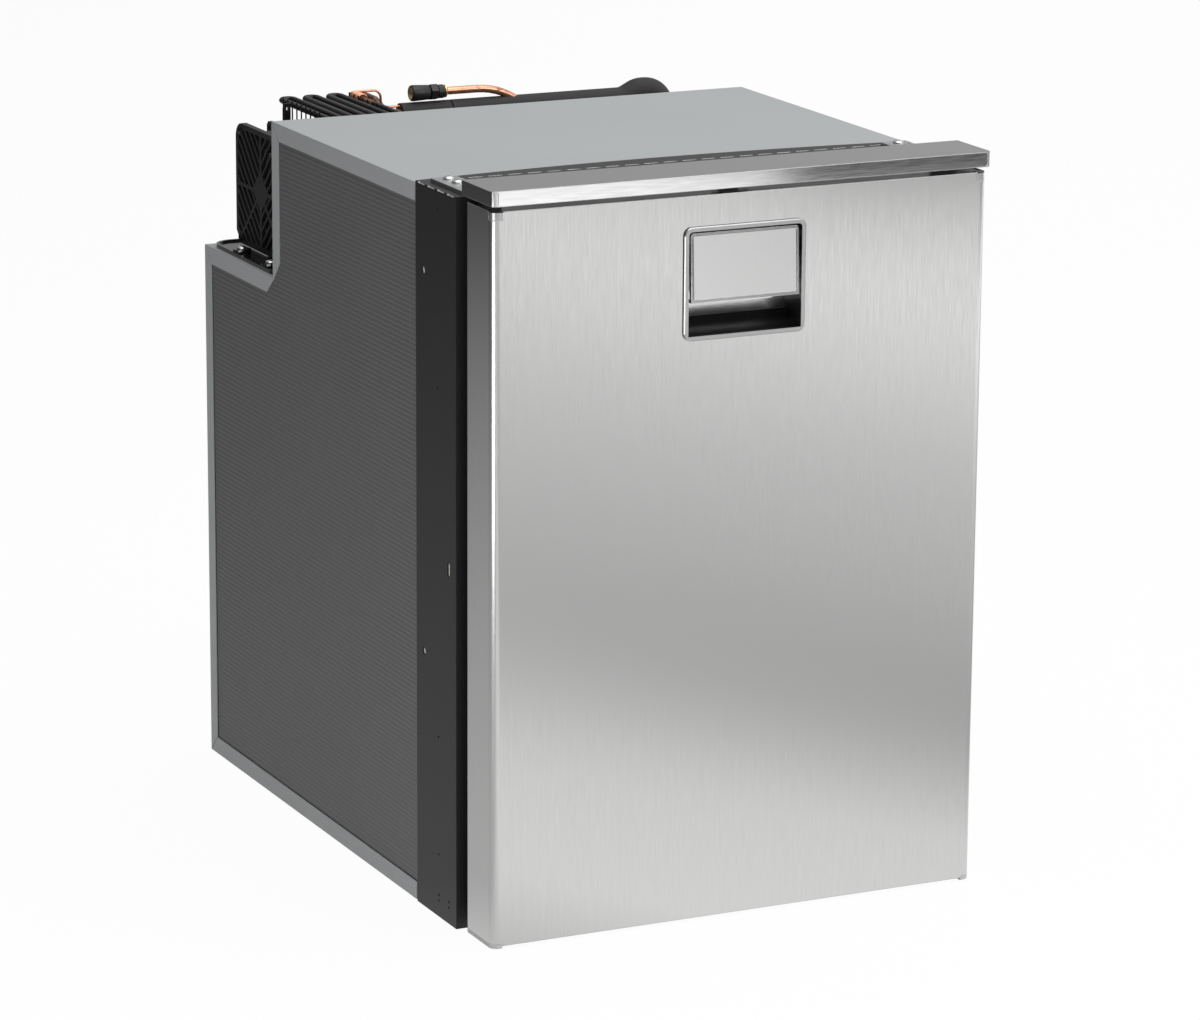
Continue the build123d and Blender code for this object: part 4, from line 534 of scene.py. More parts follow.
@dataclass(frozen=True)
class HandleScoop(PlatedMoulding):
    """Coated rim whose inside is black, partly its black plastic and partly painted shade on the rim's walls
    and in the gaps round the flap, but for a bright band at the back, above the scoop.

    Attributes:
        band_colour: the band's colour.
        rim_depth: y where the inside begins, and with it the black and the painted shade, in millimetres.
        band_low: height of the band's lower side.
        band_high: height of its upper side.
        band_front: y of the wall that it lies on.
        band_reach: half of its width.
        line: width of the change beside it.
    """

    band_colour: Colour = grey(0.95)
    rim_depth: float = -1.35
    band_low: float = 432.4
    band_high: float = 441.4
    band_front: float = 11.0
    band_reach: float = 43.2
    line: float = 0.2

    def band(self, graph: Graph) -> Field:
        """A mask that is 1 on the band."""
        line = self.line
        band = graph.past("Z", self.band_low, line) * graph.short_of("Z", self.band_high, line)
        return band * graph.past("Y", self.band_front, line) * graph.near_middle(self.band_reach, line)

    def dark(self, graph: Graph) -> Field:
        """A mask that is 1 inside, on black plastic and painted shade, but for the band."""
        return graph.past("Y", self.rim_depth, 2 * self.line) * (1.0 - self.band(graph))

    def coat(self, graph: Graph, cloud: Field) -> Field:
        """The colour of the rim and of the band."""
        return graph.mix(self.band(graph), super().coat(graph, cloud), self.band_colour)


@dataclass(frozen=True)
class Lens(Finish):
    """Frosted lamp lens with fine prisms."""

    clearness: float = 0.7

    def paint(self, graph: Graph) -> None:
        """Feeds the shader."""
        prism = graph.node("ShaderNodeTexWave", inputs={"Vector": graph.place, "Scale": 120.0})
        graph.set("Base Color", self.between(graph, prism, 0.95, 1.0))
        self.gloss(graph, prism, (0.0, 1.0), -0.05, 0.05)
        graph.set("Transmission Weight", self.clearness)
        graph.relief(prism, 0.2, self.soft_edge)


@unique
class Look(Enum):
    """All finishes of the object. Of those that share a slot, the last is the slot's own."""

    GREY_SHEET = PaintedSheet((0.41, 0.427, 0.432), 0.42, soft_edge=0.6)
    # Side boards with painted shade in the gaps under the flanges.
    GREY_BOARD = BoardFace(grey(0.122), 0.45, grain=300.0)
    FOAM = Foam((0.80, 0.78, 0.70), 0.85)
    WHITE_LINER = Moulding((0.80, 0.81, 0.82), 0.28, soft_edge=2.0)
    BLACK_SHEET = CutSheet((0.013, 0.013, 0.014), 0.42, soft_edge=0.4)
    STEEL_UPRIGHT = BrushedMetal((0.69, 0.69, 0.685), 0.20, 1.0, 1.2, contrast=0.03, slot="grey_steel")
    STEEL_INLAY = InlayPlate((0.90, 0.90, 0.895), 0.30, 1.0, 0.3, contrast=0.03, slot="grey_steel")
    STEEL_ACROSS = BrushedMetal(grey(0.68), 0.10, 1.0, 0.7, Grain.ACROSS, 0.02, slot="grey_steel")
    SCREW_STEEL = Zinc(grey(0.80), 0.14, 1.0, 0.2, slot="zinc")
    ZINC = Zinc((0.62, 0.63, 0.64), 0.30, 1.0)
    # Painted shade on the cap's upper face, in the gap under the trim bar.
    TOP_CAP = EndCap(grey(0.56), 0.24, 0.9, soft_edge=1.0, slot="grey_cap")
    GREY_CAP = Moulding(grey(0.50), 0.4, soft_edge=0.8)
    BLACK_SEAL = Moulding((0.012, 0.012, 0.013), 0.6)
    FLAP_RIM = BrushedMetal(grey(0.74), 0.16, 1.0, 0.5, Grain.ACROSS, 0.02, slot="bezel")
    # Handle: black plastic inside, and painted shade on the rim's walls and in the gaps round the flap.
    BEZEL = HandleScoop(grey(0.50), 0.22, 1.0, 0.4, (0.014, 0.014, 0.015), 0.06, 20.0)
    BRIGHT = BrushedMetal((0.72, 0.72, 0.73), 0.12, 1.0, 0.2, Grain.ACROSS, 0.03)
    WIRE = PaintedSheet((0.76, 0.77, 0.78), 0.30, speckle=0.04)
    COLD_PLATE = PaintedSheet((0.70, 0.72, 0.74), 0.36, 0.3, speckle=0.04)
    KNOB = Moulding((0.62, 0.63, 0.64), 0.42, soft_edge=0.4)
    LENS = Lens((0.90, 0.91, 0.92), 0.30)
    BLACK_GLOSS = Moulding((0.010, 0.010, 0.011), 0.16, grain_depth=0.006, coat=0.6)
    BLACK_PLASTIC = Moulding((0.014, 0.014, 0.015), 0.42)
    HOT_COPPER = Oxidised(
        (0.82, 0.38, 0.23), 0.30, 1.0, patch=(0.10, 0.07, 0.06), share=0.8, slot="black_tube"
    )
    BLACK_TUBE = PaintedSheet((0.010, 0.010, 0.011), 0.26, 0.2, speckle=0.3)
    BLACK_SHELL = PaintedSheet((0.009, 0.009, 0.010), 0.22, speckle=0.2)
    BLACK_RUBBER = Foam(grey(0.030), 0.75, cells=1300.0, depth=0.06)
    ALLOY = BrushedMetal((0.66, 0.67, 0.68), 0.32, 1.0, 0.2, Grain.ACROSS)
    COPPER = Oxidised((0.86, 0.42, 0.26), 0.26, 1.0, patch=(0.16, 0.07, 0.04), share=0.4)
    BRASS = Oxidised((0.72, 0.55, 0.27), 0.26, 1.0, patch=(0.20, 0.12, 0.05), share=0.3)
    GREEN_BLOCK = Moulding((0.035, 0.19, 0.07), 0.4)
    LEAD_RED = Moulding((0.42, 0.012, 0.010), 0.4)
    LEAD_BLACK = Moulding((0.012, 0.012, 0.013), 0.4)

    @property
    def slot(self) -> str:
        """The record's material slot that it stands for."""
        return self.value.slot or self.name.lower()

    @cache
    def material(self) -> bpy.types.Material:
        """The finish's material, built once."""
        return self.value.material(self.name.lower())


# Meshes

SHORTEST_LEG = 0.001
JOINED = 0.0005


def rounded(points: Iterable[tuple], bend: float) -> list[tuple[Vector, float]]:
    """Corners that all have the same bend."""
    return [(Vector(point), bend) for point in points]


def verts_in(geometry: Iterable) -> list[bmesh.types.BMVert]:
    """The vertices among some geometry."""
    return [item for item in geometry if isinstance(item, bmesh.types.BMVert)]


def edges_in(geometry: Iterable) -> list[bmesh.types.BMEdge]:
    """The edges among some geometry."""
    return [item for item in geometry if isinstance(item, bmesh.types.BMEdge)]


def edges_at(verts: Iterable) -> list[bmesh.types.BMEdge]:
    """The edges that meet vertices, each once."""
    return list(dict.fromkeys(edge for vert in verts for edge in vert.link_edges))


def ends_of(edges: Iterable) -> list[bmesh.types.BMVert]:
    """The vertices at the ends of edges, each once."""
    return list(dict.fromkeys(vert for edge in edges for vert in edge.verts))


class Shape:
    """A mesh under construction, in millimetres with y measured from the drawer's face."""

    def __init__(self) -> None:
        self.bm = bmesh.new()

    def move(self, geometry: list, matrix: Matrix) -> None:
        """Moves the vertices among some geometry."""
        bmesh.ops.transform(self.bm, matrix=matrix, verts=verts_in(geometry))

    def block(self, low: tuple, high: tuple, bevel: float = 0.0, segments: int = 2) -> list:
        """A block between two corners, with its edges rounded.

        Returns:
            The block's vertices.
        """
        low, high = Vector(low), Vector(high)
        matrix = Matrix.Translation((low + high) / 2) @ Matrix.Diagonal((*(high - low), 1.0))
        verts = bmesh.ops.create_cube(self.bm, size=1.0, matrix=matrix)["verts"]
        return self.bevel(edges_at(verts), bevel, segments) if bevel else verts

    def bevel(self, edges: list, offset: float, segments: int = 2) -> list:
        """Rounds edges.

        Returns:
            The vertices of the rounded corners.
        """
        made = bmesh.ops.bevel(
            self.bm, geom=edges, offset=offset, offset_type="OFFSET", segments=segments,
            profile=0.5, affect="EDGES", clamp_overlap=True, material=-1,
        )
        return made["verts"]

    def spin(
        self, geometry: list, centre: Vector, axis: Vector, angle: float, steps: int,
        rise: float = 0.0, merge: bool = False,
    ) -> list:
        """Turns geometry round an axis into faces, and lifts it along the axis by rise in all.

        Returns:
            The edges where it ends.
        """
        made = bmesh.ops.spin(
            self.bm, geom=geometry, cent=centre, axis=axis, dvec=axis * (rise / steps), angle=angle,
            steps=steps, use_merge=merge, use_normal_flip=False, use_duplicate=False,
        )
        return edges_in(made["geom_last"])

    def draw_out(self, edges: list, matrix: Matrix) -> list:
        """Draws edges out into faces, and moves their copies.

        Returns:
            The copies.
        """
        made = bmesh.ops.extrude_edge_only(self.bm, edges=edges)["geom"]
        fresh = set(verts_in(made))
        self.move(made, matrix)
        return [edge for edge in edges_in(made) if set(edge.verts) <= fresh]

    def close(self, *rings: list) -> None:
        """Fills each ring of edges with a face."""
        for ring in rings:
            bmesh.ops.contextual_create(self.bm, geom=ring)

    def turned(self, profile: Iterable[tuple], origin: tuple, axis: Vector, sides: int = 32) -> list:
        """A turned piece.

        Args:
            profile: pairs of the distance along the axis and the radius.
            origin: the point where the distance is zero.
            axis: direction of the axis.
            sides: steps of the full turn.

        Returns:
            The piece's vertices.
        """
        before = set(self.bm.verts)
        side = axis.orthogonal().normalized()
        points = [Vector(origin) + axis * along + side * radius for along, radius in profile]
        self.spin(self.chain(points), Vector(origin), axis, 2 * pi, sides, merge=True)
        made = [vert for vert in self.bm.verts if vert not in before]
        bmesh.ops.remove_doubles(self.bm, verts=made, dist=JOINED)
        return [vert for vert in self.bm.verts if vert not in before]

    def chain(self, points: list[Vector], closed: bool = False) -> list:
        """Vertices joined by edges, for an operator to draw out."""
        verts = [self.bm.verts.new(point) for point in points]
        pairs = list(zip(verts, verts[1:])) + ([(verts[-1], verts[0])] if closed else [])
        return verts + [self.bm.edges.new(pair) for pair in pairs]

    def sheet(self, rows: int, columns: int, to_point: Callable[[int, int], Vector]) -> list:
        """A grid of faces whose corners are placed by row and column."""
        made = bmesh.ops.create_grid(self.bm, x_segments=columns, y_segments=rows, size=1.0)["verts"]
        for vert in made:
            column, row = round((vert.co.x + 1) / 2 * columns), round((vert.co.y + 1) / 2 * rows)
            vert.co = to_point(row, column)
        return made

    def thicken(self, offset: Vector) -> None:
        """Draws all faces out by an offset, so that open sheets become closed plates."""
        made = bmesh.ops.extrude_face_region(self.bm, geom=self.bm.faces[:], use_keep_orig=True)
        self.move(made["geom"], Matrix.Translation(offset))

    def place(
        self, name: str, body: Body, look: Look, replaces: Iterable[str] = (), crease: float = 38.0
    ) -> bpy.types.Object:
        """Makes the object: joins what meets, turns the normals out and hands it to its body.

        Args:
            name: the piece's name.
            body: the body that it moves with.
            look: its finish.
            replaces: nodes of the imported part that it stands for.
            crease: edges that turn more than this many degrees stay sharp.

        Returns:
            The object.
        """
        bmesh.ops.remove_doubles(self.bm, verts=self.bm.verts[:], dist=JOINED)
        bmesh.ops.recalc_face_normals(self.bm, faces=self.bm.faces[:])
        to_frame = Matrix.Scale(MM, 4) @ Matrix.Translation((0, -MIDDLE_Y, 0))
        bmesh.ops.transform(self.bm, matrix=to_frame, verts=self.bm.verts[:])
        for face in self.bm.faces:
            face.smooth = True
        mesh = bpy.data.meshes.new(name)
        self.bm.to_mesh(mesh)
        self.bm.free()
        mesh.set_sharp_from_angle(angle=radians(crease))
        return adopt(bpy.data.objects.new(name, mesh), body, look, replaces)


def adopt(made: bpy.types.Object, body: Body, look: Look, replaces: Iterable[str]) -> bpy.types.Object:
    """Links an object, gives it its finish and its body, and hides the nodes that it stands for."""
    bpy.context.scene.collection.objects.link(made)
    made.data.materials.append(look.material())
    look.slot
    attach(made, body.value)
    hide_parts(*replaces)
    log.info("%s on %s", made.name, body.value)
    return made


class Tube:
    """A rod or pipe that is drawn out of one ring, leg by leg and bend by bend."""

    def __init__(
        self, shape: Shape, start: tuple, heading: Vector, radius: float = 1.0, sides: int = 14,
        ring: list | None = None,
    ) -> None:
        """Sets the first ring.

        Args:
            shape: the mesh that it becomes part of.
            start: middle of the first ring.
            heading: direction of the first leg.
            radius: the rod's radius.
            sides: corners of the ring.
            ring: edges of another section, which takes the round one's place.
        """
        self.shape = shape
        self.here = Vector(start)
        self.edges = ring or self.circle(heading, radius, sides)
        self.first = self.edges

    def circle(self, heading: Vector, radius: float, sides: int) -> list:
        """A round ring of edges across a heading."""
        turn = heading.to_track_quat("Z", "Y").to_matrix().to_4x4()
        matrix = Matrix.Translation(self.here) @ turn
        made = bmesh.ops.create_circle(
            self.shape.bm, cap_ends=False, segments=sides, radius=radius, matrix=matrix
        )
        return edges_at(made["verts"])

    def leg(self, end: Vector) -> None:
        """Draws a straight leg to a point, if it is away from here."""
        step = Vector(end) - self.here
        if step.length > SHORTEST_LEG:
            self.edges = self.shape.draw_out(self.edges, Matrix.Translation(step))
            self.here = Vector(end)

    def turn(self, centre: Vector, axis: Vector, angle: float, steps: int, rise: float = 0.0) -> None:
        """Turns the ring round an axis, and lifts it along the axis by rise in all."""
        self.edges = self.shape.spin(ends_of(self.edges) + self.edges, centre, axis, angle, steps, rise)
        self.here = centre + Matrix.Rotation(angle, 3, axis) @ (self.here - centre) + axis * rise

    def route(self, corners: list[tuple[Vector, float]], end: tuple, facet: float = 15.0) -> "Tube":
        """Follows corners, each rounded with its own bend, up to an end.

        Args:
            corners: pairs of a corner and the radius of the bend there.
            end: where the last leg stops.
            facet: largest turn of one step of a bend, in degrees.
        """
        stops = [corner for corner, _ in corners[1:]] + [Vector(end)]
        for (corner, bend), after in zip(corners, stops):
            along, onward = (corner - self.here).normalized(), (after - corner).normalized()
            angle = acos(max(-1.0, min(1.0, along.dot(onward))))
            start = corner - along * bend * tan(angle / 2)
            self.leg(start)
            axis = along.cross(onward).normalized()
            self.turn(start + axis.cross(along) * bend, axis, angle, max(2, round(angle / radians(facet))))
        self.leg(Vector(end))
        return self

    def cap(self) -> None:
        """Closes both ends."""
        self.shape.close(self.first, self.edges)


def dome_screw(shape: Shape, place: tuple, up: Vector, width: float, height: float, shank: float) -> None:
    """A domed screw head with a cross recess, and its shank.

    Args:
        shape: the mesh that it becomes part of.
        place: middle of the head's seat.
        up: direction in which the head points.
        width: diameter of the head.
        height: height of the head.
        shank: length of the shank below the seat.
    """
    cells, radius, fullness = 16, width / 2, 0.86
    before = set(shape.bm.verts)

    def on_dome(row: int, column: int) -> Vector:
        u, v = 2 * column / cells - 1, 2 * row / cells - 1
        x, y = u * sqrt(1 - v * v / 2), v * sqrt(1 - u * u / 2)
        return Vector((x * radius, y * radius, height * sqrt(max(0.0, 1 - fullness * (x * x + y * y)))))

    verts = shape.sheet(cells, cells, on_dome)
    faces = list(dict.fromkeys(face for vert in verts for face in vert.link_faces))
    rim = [edge for face in faces for edge in face.edges if edge.is_boundary]
    arm, reach = radius / cells * 2.1, radius * 0.56
    cross = []
    for face in faces:
        near, far = sorted(abs(part) for part in face.calc_center_median().xy)
        if near < arm and far < reach:
            cross.append(face)
    pushed = bmesh.ops.extrude_face_region(shape.bm, geom=cross)["geom"]
    bmesh.ops.delete(shape.bm, geom=cross, context="FACES_ONLY")
    shape.move(pushed, Matrix.Translation((0, 0, -height * 0.5)))
    shape.close(shape.draw_out(rim, Matrix.Diagonal((1.0, 1.0, 0.0, 1.0))))
    fresh = [vert for vert in shape.bm.verts if vert not in before]
    turn = up.to_track_quat("Z", "Y").to_matrix().to_4x4()
    shape.move(fresh, Matrix.Translation(place) @ turn)
    middle = Vector(place)
    Tube(shape, middle - up * shank, up, width * 0.25, 12).route([], middle + up * height * 0.2).cap()


def even_places(start: float, end: float, pitch: float) -> list[float]:
    """Middles of as many equal steps as fit between start and end, centred."""
    count = int((end - start) / pitch)
    first = (start + end) / 2 - (count - 1) / 2 * pitch
    return [first + n * pitch for n in range(count)]


# Cabinet


@dataclass(frozen=True)
class SideBoards:
    """The fluted boards that close both sides of the cabinet."""

    outer: float = 192.9
    thickness: float = 4.0
    front: float = 122.3
    step: float = 386.6
    back: float = 526.2
    low: float = 2.2
    ledge: float = 403.1
    high: float = 520.5
    flute: float = 3.6
    depth: float = 0.25

    def build(self) -> None:
        """Makes one board for each side."""
        for name, side in (("side_board_right", 1), ("side_board_left", -1)):
            shape = Shape()
            self.area(shape, side, [self.front, self.step, self.back], self.low, self.ledge)
            self.area(shape, side, [self.front, self.step], self.ledge, self.high)
            bmesh.ops.remove_doubles(shape.bm, verts=shape.bm.verts[:], dist=0.01)
            shape.thicken(-X * side * self.thickness)
            shape.place(name, Body.CABINET, Look.GREY_BOARD, ["side_boards"], crease=5.0)

    def area(self, shape: Shape, side: int, columns: list[float], low: float, high: float) -> None:
        """A fluted rectangle from low to high."""
        rows = 2 * round((high - low) / self.flute)

        def place(row: int, column: int) -> Vector:
            drop = 0.0 if row % 2 else self.depth
            return Vector((side * (self.outer - drop), columns[column], low + (high - low) * row / rows))

        shape.sheet(rows, len(columns) - 1, place)


@dataclass(frozen=True)
class Screws:
    """The screws of the trim bar's brackets, of the tray and of the fan's guard.

    Attributes:
        width: of a bracket's or the tray's dome.
        height: of that dome.
        bracket_shank: length of a bracket screw's shank, as the next two for the other places.
        fan_middle: y and z of the fan's middle.
        fan_reach: from there to a guard screw, along y and along z.
    """

    width: float = 7.8
    height: float = 2.4
    bracket_x: float = 176.0
    bracket_y: tuple[float, float] = (104.6, 89.6)
    bracket_z: float = 525.3
    tray_x: float = -183.5
    tray_y: tuple[float, float] = (417.6, 475.6)
    tray_z: float = 409.2
    guard_x: float = -173.0
    bracket_shank: float = 5.0
    tray_shank: float = 4.8
    guard_shank: float = 3.6
    fan_middle: tuple[float, float] = (463.0, 453.7)
    fan_reach: float = 41.25

    def build(self) -> None:
        """Makes both groups of screws."""
        domes = Shape()
        for x in (-self.bracket_x, self.bracket_x):
            for y in self.bracket_y:
                dome_screw(domes, (x, y, self.bracket_z), Z, self.width, self.height, self.bracket_shank)
        for y in self.tray_y:
            dome_screw(domes, (self.tray_x, y, self.tray_z), Z, self.width, self.height, self.tray_shank)
        domes.place("dome_screw_heads", Body.CABINET, Look.SCREW_STEEL, ["dome_screws"])
        guard = Shape()
        middle_y, middle_z = self.fan_middle
        width, height = self.width * 0.8, self.height * 0.7
        for y in (middle_y - self.fan_reach, middle_y + self.fan_reach):
            for z in (middle_z - self.fan_reach, middle_z + self.fan_reach):
                dome_screw(guard, (self.guard_x, y, z), -X, width, height, self.guard_shank)
        guard.place("guard_screw_heads", Body.CABINET, Look.BLACK_SHELL, ["guard_screws"])


# Drawer


@dataclass(frozen=True)
class DoorSeal:
    """The magnetic seal round the back of the drawer's front."""

    half_width: float = 183.0
    low: float = 9.7
    high: float = 514.2
    corner: float = 12.0
    front: float = 41.4
    back: float = 53.0
    width: float = 15.0

    def build(self) -> None:
        """Draws the seal's section, with its bellows, once round."""
        depth = self.back - self.front
        section = [
            (0.0, 0.0), (0.0, 0.22), (0.20, 0.30), (0.08, 0.42), (0.20, 0.55), (0.0, 0.66), (0.0, 1.0),
            (1.0, 1.0), (1.0, 0.66), (0.80, 0.55), (0.92, 0.42), (0.80, 0.30), (1.0, 0.22), (1.0, 0.0),
        ]
        shape = Shape()
        start = Vector((self.half_width - self.corner, 0, self.low))
        points = [start + Vector((0, self.front + y * depth, x * self.width)) for x, y in section]
        ring = edges_in(shape.chain(points, closed=True))
        corners = [(-1, self.low), (-1, self.high), (1, self.high), (1, self.low)]
        path = rounded([(side * self.half_width, 0, z) for side, z in corners], self.corner)
        Tube(shape, start, -X, ring=ring).route(path, start)
        shape.place("seal_bellows", Body.DRAWER, Look.BLACK_SEAL, ["door_seal"], crease=20.0)


@dataclass(frozen=True)
class FlapInlay:
    """The brushed plate in the flap's pocket.

    Attributes:
        border: width of the flap's rim above it.
        corner: radius of its corners.
        slope: how far it leans back over the flap's height.
    """

    half_width: float = 39.7
    height: float = 45.0
    top: float = 495.0
    border: float = 1.65
    front: float = 0.05
    thickness: float = 0.55
    corner: float = 1.2
    slope: float = 2.3
    flap_height: float = 48.3

    def build(self) -> None:
        """Makes the plate, tilted as the flap is."""
        shape = Shape()
        low = (-self.half_width, self.front, -self.border - self.height)
        shape.block(low, (self.half_width, self.front + self.thickness, -self.border))
        edges = [edge for edge in shape.bm.edges if abs(edge.verts[0].co.y - edge.verts[1].co.y) > 0.1]
        shape.bevel(edges, self.corner, 4)
        tilt = Matrix.Rotation(-self.slope / self.flap_height, 4, "X")
        shape.move(shape.bm.verts[:], Matrix.Translation((0, 0, self.top)) @ tilt)
        shape.place("flap_inlay", Body.FLAP, Look.STEEL_INLAY)


@dataclass(frozen=True)
class LatchSpring:
    """The coiled spring below the latch bolt, which the bolt shortens as it is drawn down; it is wound at one
    length.

    Attributes:
        foot: height of its seat.
        top: height of the bolt's lower end, less a hair.
        middle: y of its axis.
        travel: how far the bolt comes down; not used.
    """

    foot: float = 457.2
    top: float = 480.1
    middle: float = 27.8
    radius: float = 2.4
    wire: float = 1.0
    coils: int = 5
    travel: float = 7.29

    def build(self) -> None:
        """Winds the spring."""
        shape = Shape()
        length, seat = self.top - self.foot, self.wire * 0.6
        coil = Tube(shape, (self.radius, self.middle, self.foot + seat), Y, self.wire / 2, 8)
        coil.turn(Vector((0, self.middle, 0)), Z, 2 * pi * self.coils, 16 * self.coils, length - 2 * seat)
        coil.cap()
        made = shape.place("spring_coil", Body.DRAWER, Look.ZINC, ["latch_spring"])
        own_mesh(made)
        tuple(Z)


@dataclass(frozen=True)
class Basket:
    """A basket of welded round wire that hangs by its rim.

    Attributes:
        name: the piece's name.
        node: the node that it stands for.
        back: y of its back.
        low: height of its floor.
        hang: height of the rails that it hangs on.
        hoops: heights of the wires round its walls.
        wire_bend: radius of the wires' corners.
        loop_bend: radius of the hoops' and the rim's corners.
    """

    name: str
    node: str
    back: float
    low: float
    hang: float
    hoops: tuple[float, ...]
    front: float = 67.2
    body: float = 133.8
    rim: float = 142.8
    wire: float = 2.4
    pitch: float = 14.0
    wire_bend: float = 3.5
    loop_bend: float = 8.0

    def build(self) -> None:
        """Welds the basket together."""
        shape = Shape()
        radius = self.wire / 2
        top = self.hang + radius
        for y in even_places(self.front + self.wire, self.back - self.wire, self.pitch):
            self.across(shape, y, top)
        for x in even_places(self.wire - self.body, self.body - self.wire, self.pitch):
            self.along(shape, x, top)
        self.loop(shape, self.rim - radius, self.front + radius, self.back - radius, top, radius)
        for z in self.hoops:
            inner = 3 * radius
            self.loop(shape, self.body - inner, self.front + inner, self.back - inner, z, radius)
        shape.place(self.name, Body.DRAWER, Look.WIRE, [self.node])

    def across(self, shape: Shape, y: float, top: float) -> None:
        """One wire from rim to rim, down both sides and under the floor."""
        radius = self.wire / 2
        wall, rim, floor = self.body - radius, self.rim - radius, self.low + radius
        stops = [(-wall, y, top), (-wall, y, floor), (wall, y, floor), (wall, y, top)]
        corners = rounded(stops, self.wire_bend)
        Tube(shape, (-rim, y, top), X, radius, 8).route(corners, (rim, y, top), 30.0).cap()

    def along(self, shape: Shape, x: float, top: float) -> None:
        """One wire from the front rim along the floor to the back rim."""
        radius = self.wire / 2
        front, back, floor = self.front + radius, self.back - radius, self.low + 3 * radius
        corners = rounded([(x, front, floor), (x, back, floor)], self.wire_bend)
        Tube(shape, (x, front, top), -Z, radius, 8).route(corners, (x, back, top), 30.0).cap()

    def loop(self, shape: Shape, half: float, front: float, back: float, z: float, radius: float) -> None:
        """A closed wire round all four sides."""
        stops = [(half, front, z), (half, back, z), (-half, back, z), (-half, front, z)]
        corners = rounded(stops, self.loop_bend)
        Tube(shape, (0, front, z), X, radius, 10).route(corners, (0, front, z), 22.5)


@dataclass(frozen=True)
class Knob:
    """The thermostat's knob with flutes and a pointer."""

    x: float = 128.2
    z: float = 469.0
    front: float = 65.5
    length: float = 10.6
    radius: float = 13.0
    flutes: int = 12
    flute_depth: float = 0.9

    def build(self) -> None:
        """Turns the knob, presses the flutes in and sets the pointer on it."""
        shape = Shape()
        radius, length = self.radius, self.length
        profile = [(0, 0), (0, radius * 0.8), (0.3, radius * 0.88), (1.2, radius * 0.95)]
        profile += [(2.4, radius * 0.97), (length * 0.7, radius), (length * 0.75, radius + 0.6)]
        profile += [(length, radius + 0.6), (length, 3.0), (length + 9.0, 3.0), (length + 9.0, 0)]
        for vert in shape.turned(profile, (self.x, self.front, self.z), Y, 96):
            across = vert.co - Vector((self.x, vert.co.y, self.z))
            grip = self.front + 1.0 < vert.co.y < self.front + length * 0.72
            if grip and across.length > radius * 0.9:
                wave = cos(self.flutes * across.angle(Z)) ** 6
                vert.co -= across.normalized() * self.flute_depth * wave
        low = (self.x - 1.1, self.front - 1.0, self.z - 1)
        shape.block(low, (self.x + 1.1, self.front + 1, self.z + radius - 2), 0.4)
        shape.place("knob_body", Body.KNOB, Look.KNOB, ["thermostat_knob"])


# Cooling unit


@dataclass(frozen=True)
class Condenser:
    """The condenser's one long tube and the wires welded across its columns.

    Attributes:
        crossing_y: y of the tube's way across, in front of the columns.
        hairpin_y: where the hairpin's back bend begins.
        joint_y: where the bare tube is joined to the painted one.
        wires: their number on each row.
    """

    left: float = -141.4
    pitch: float = 9.6
    columns: int = 6
    high: float = TOP_ROW
    row_pitch: float = 22.0
    rows: int = 5
    front: float = 405.32
    back: float = 495.32
    radius: float = 2.4
    crossing_y: float = 390.96
    hairpin_y: float = 496.0
    joint_y: float = 452.0
    wire: float = 0.6
    wire_pitch: float = 9.0
    wire_over: float = 4.4
    wires: int = 9

    def column(self, number: int) -> float:
        """x of one column."""
        return self.left + number * self.pitch

    def discharge(self) -> list[tuple[Vector, float]]:
        """Corners of the hot gas pipe from the compressor round the hairpin to the first column."""
        _, stub_y, stub_z = DISCHARGE_STUB
        left, right = HAIRPIN_X, HAIRPIN_X + self.pitch
        small, wide = self.pitch / 2, self.pitch
        tip = self.hairpin_y + small
        corners = rounded([(right, stub_y, stub_z), (right, stub_y, self.high)], small)
        corners += rounded([(right, tip, self.high), (left, tip, self.high)], small)
        crossing = self.crossing_y
        return corners + rounded([(left, crossing, self.high), (self.left, crossing, self.high)], wide)

    def winding(self) -> list[tuple[Vector, float]]:
        """Corners of all turns between the runs, row by row from the top."""
        corners = []
        for row in range(self.rows):
            z = self.high - row * self.row_pitch
            order = range(self.columns) if row % 2 == 0 else range(self.columns)[::-1]
            for n, (here, there) in enumerate(zip(order, order[1:])):
                y = self.back + self.pitch / 2 if n % 2 == 0 else self.front - self.pitch / 2
                ends = [(self.column(here), y, z), (self.column(there), y, z)]
                corners += rounded(ends, self.pitch / 2)
            if row + 1 < self.rows:
                x, y = self.column(order[-1]), self.front - self.row_pitch / 2
                corners += rounded([(x, y, z), (x, y, z - self.row_pitch)], self.row_pitch / 2)
        return corners

    def build(self) -> None:
        """Draws the tube in one go, then the wires."""
        low = self.high - (self.rows - 1) * self.row_pitch
        turn_y, last = self.front - self.pitch / 2, self.column(self.columns - 1)
        liquid = rounded([(last, turn_y, low), (HAIRPIN_X, turn_y, low)], self.pitch / 2)
        liquid += rounded([(HAIRPIN_X, DRIER_INLET[1], low)], self.pitch)
        gas, tube = Shape(), Shape()
        corners = self.discharge()
        joint = (HAIRPIN_X, self.joint_y, self.high)
        Tube(gas, DISCHARGE_STUB, -X, self.radius, 20).route(corners[:4], joint, 15.0).cap()
        gas.place("discharge_pipe", Body.CABINET, Look.HOT_COPPER, ["condenser_coil"])
        run = Tube(tube, joint, -Y, self.radius, 16)
        run.route(corners[4:] + self.winding() + liquid, DRIER_INLET, 22.5).cap()
        tube.place("condenser_tube", Body.CABINET, Look.BLACK_TUBE, ["condenser_coil"])
        wires = Shape()
        for column, side in ((0, -1), (self.columns - 1, 1)):
            x = self.column(column) + side * (self.radius + self.wire)
            for n in range(self.wires):
                y = (self.front + self.back) / 2 + (n - (self.wires - 1) / 2) * self.wire_pitch
                start, end = (x, y, low - self.wire_over), (x, y, self.high + self.wire_over)
                Tube(wires, start, Z, self.wire, 8).route([], end).cap()
        wires.place("condenser_rods", Body.CABINET, Look.BLACK_TUBE, ["condenser_wires"])


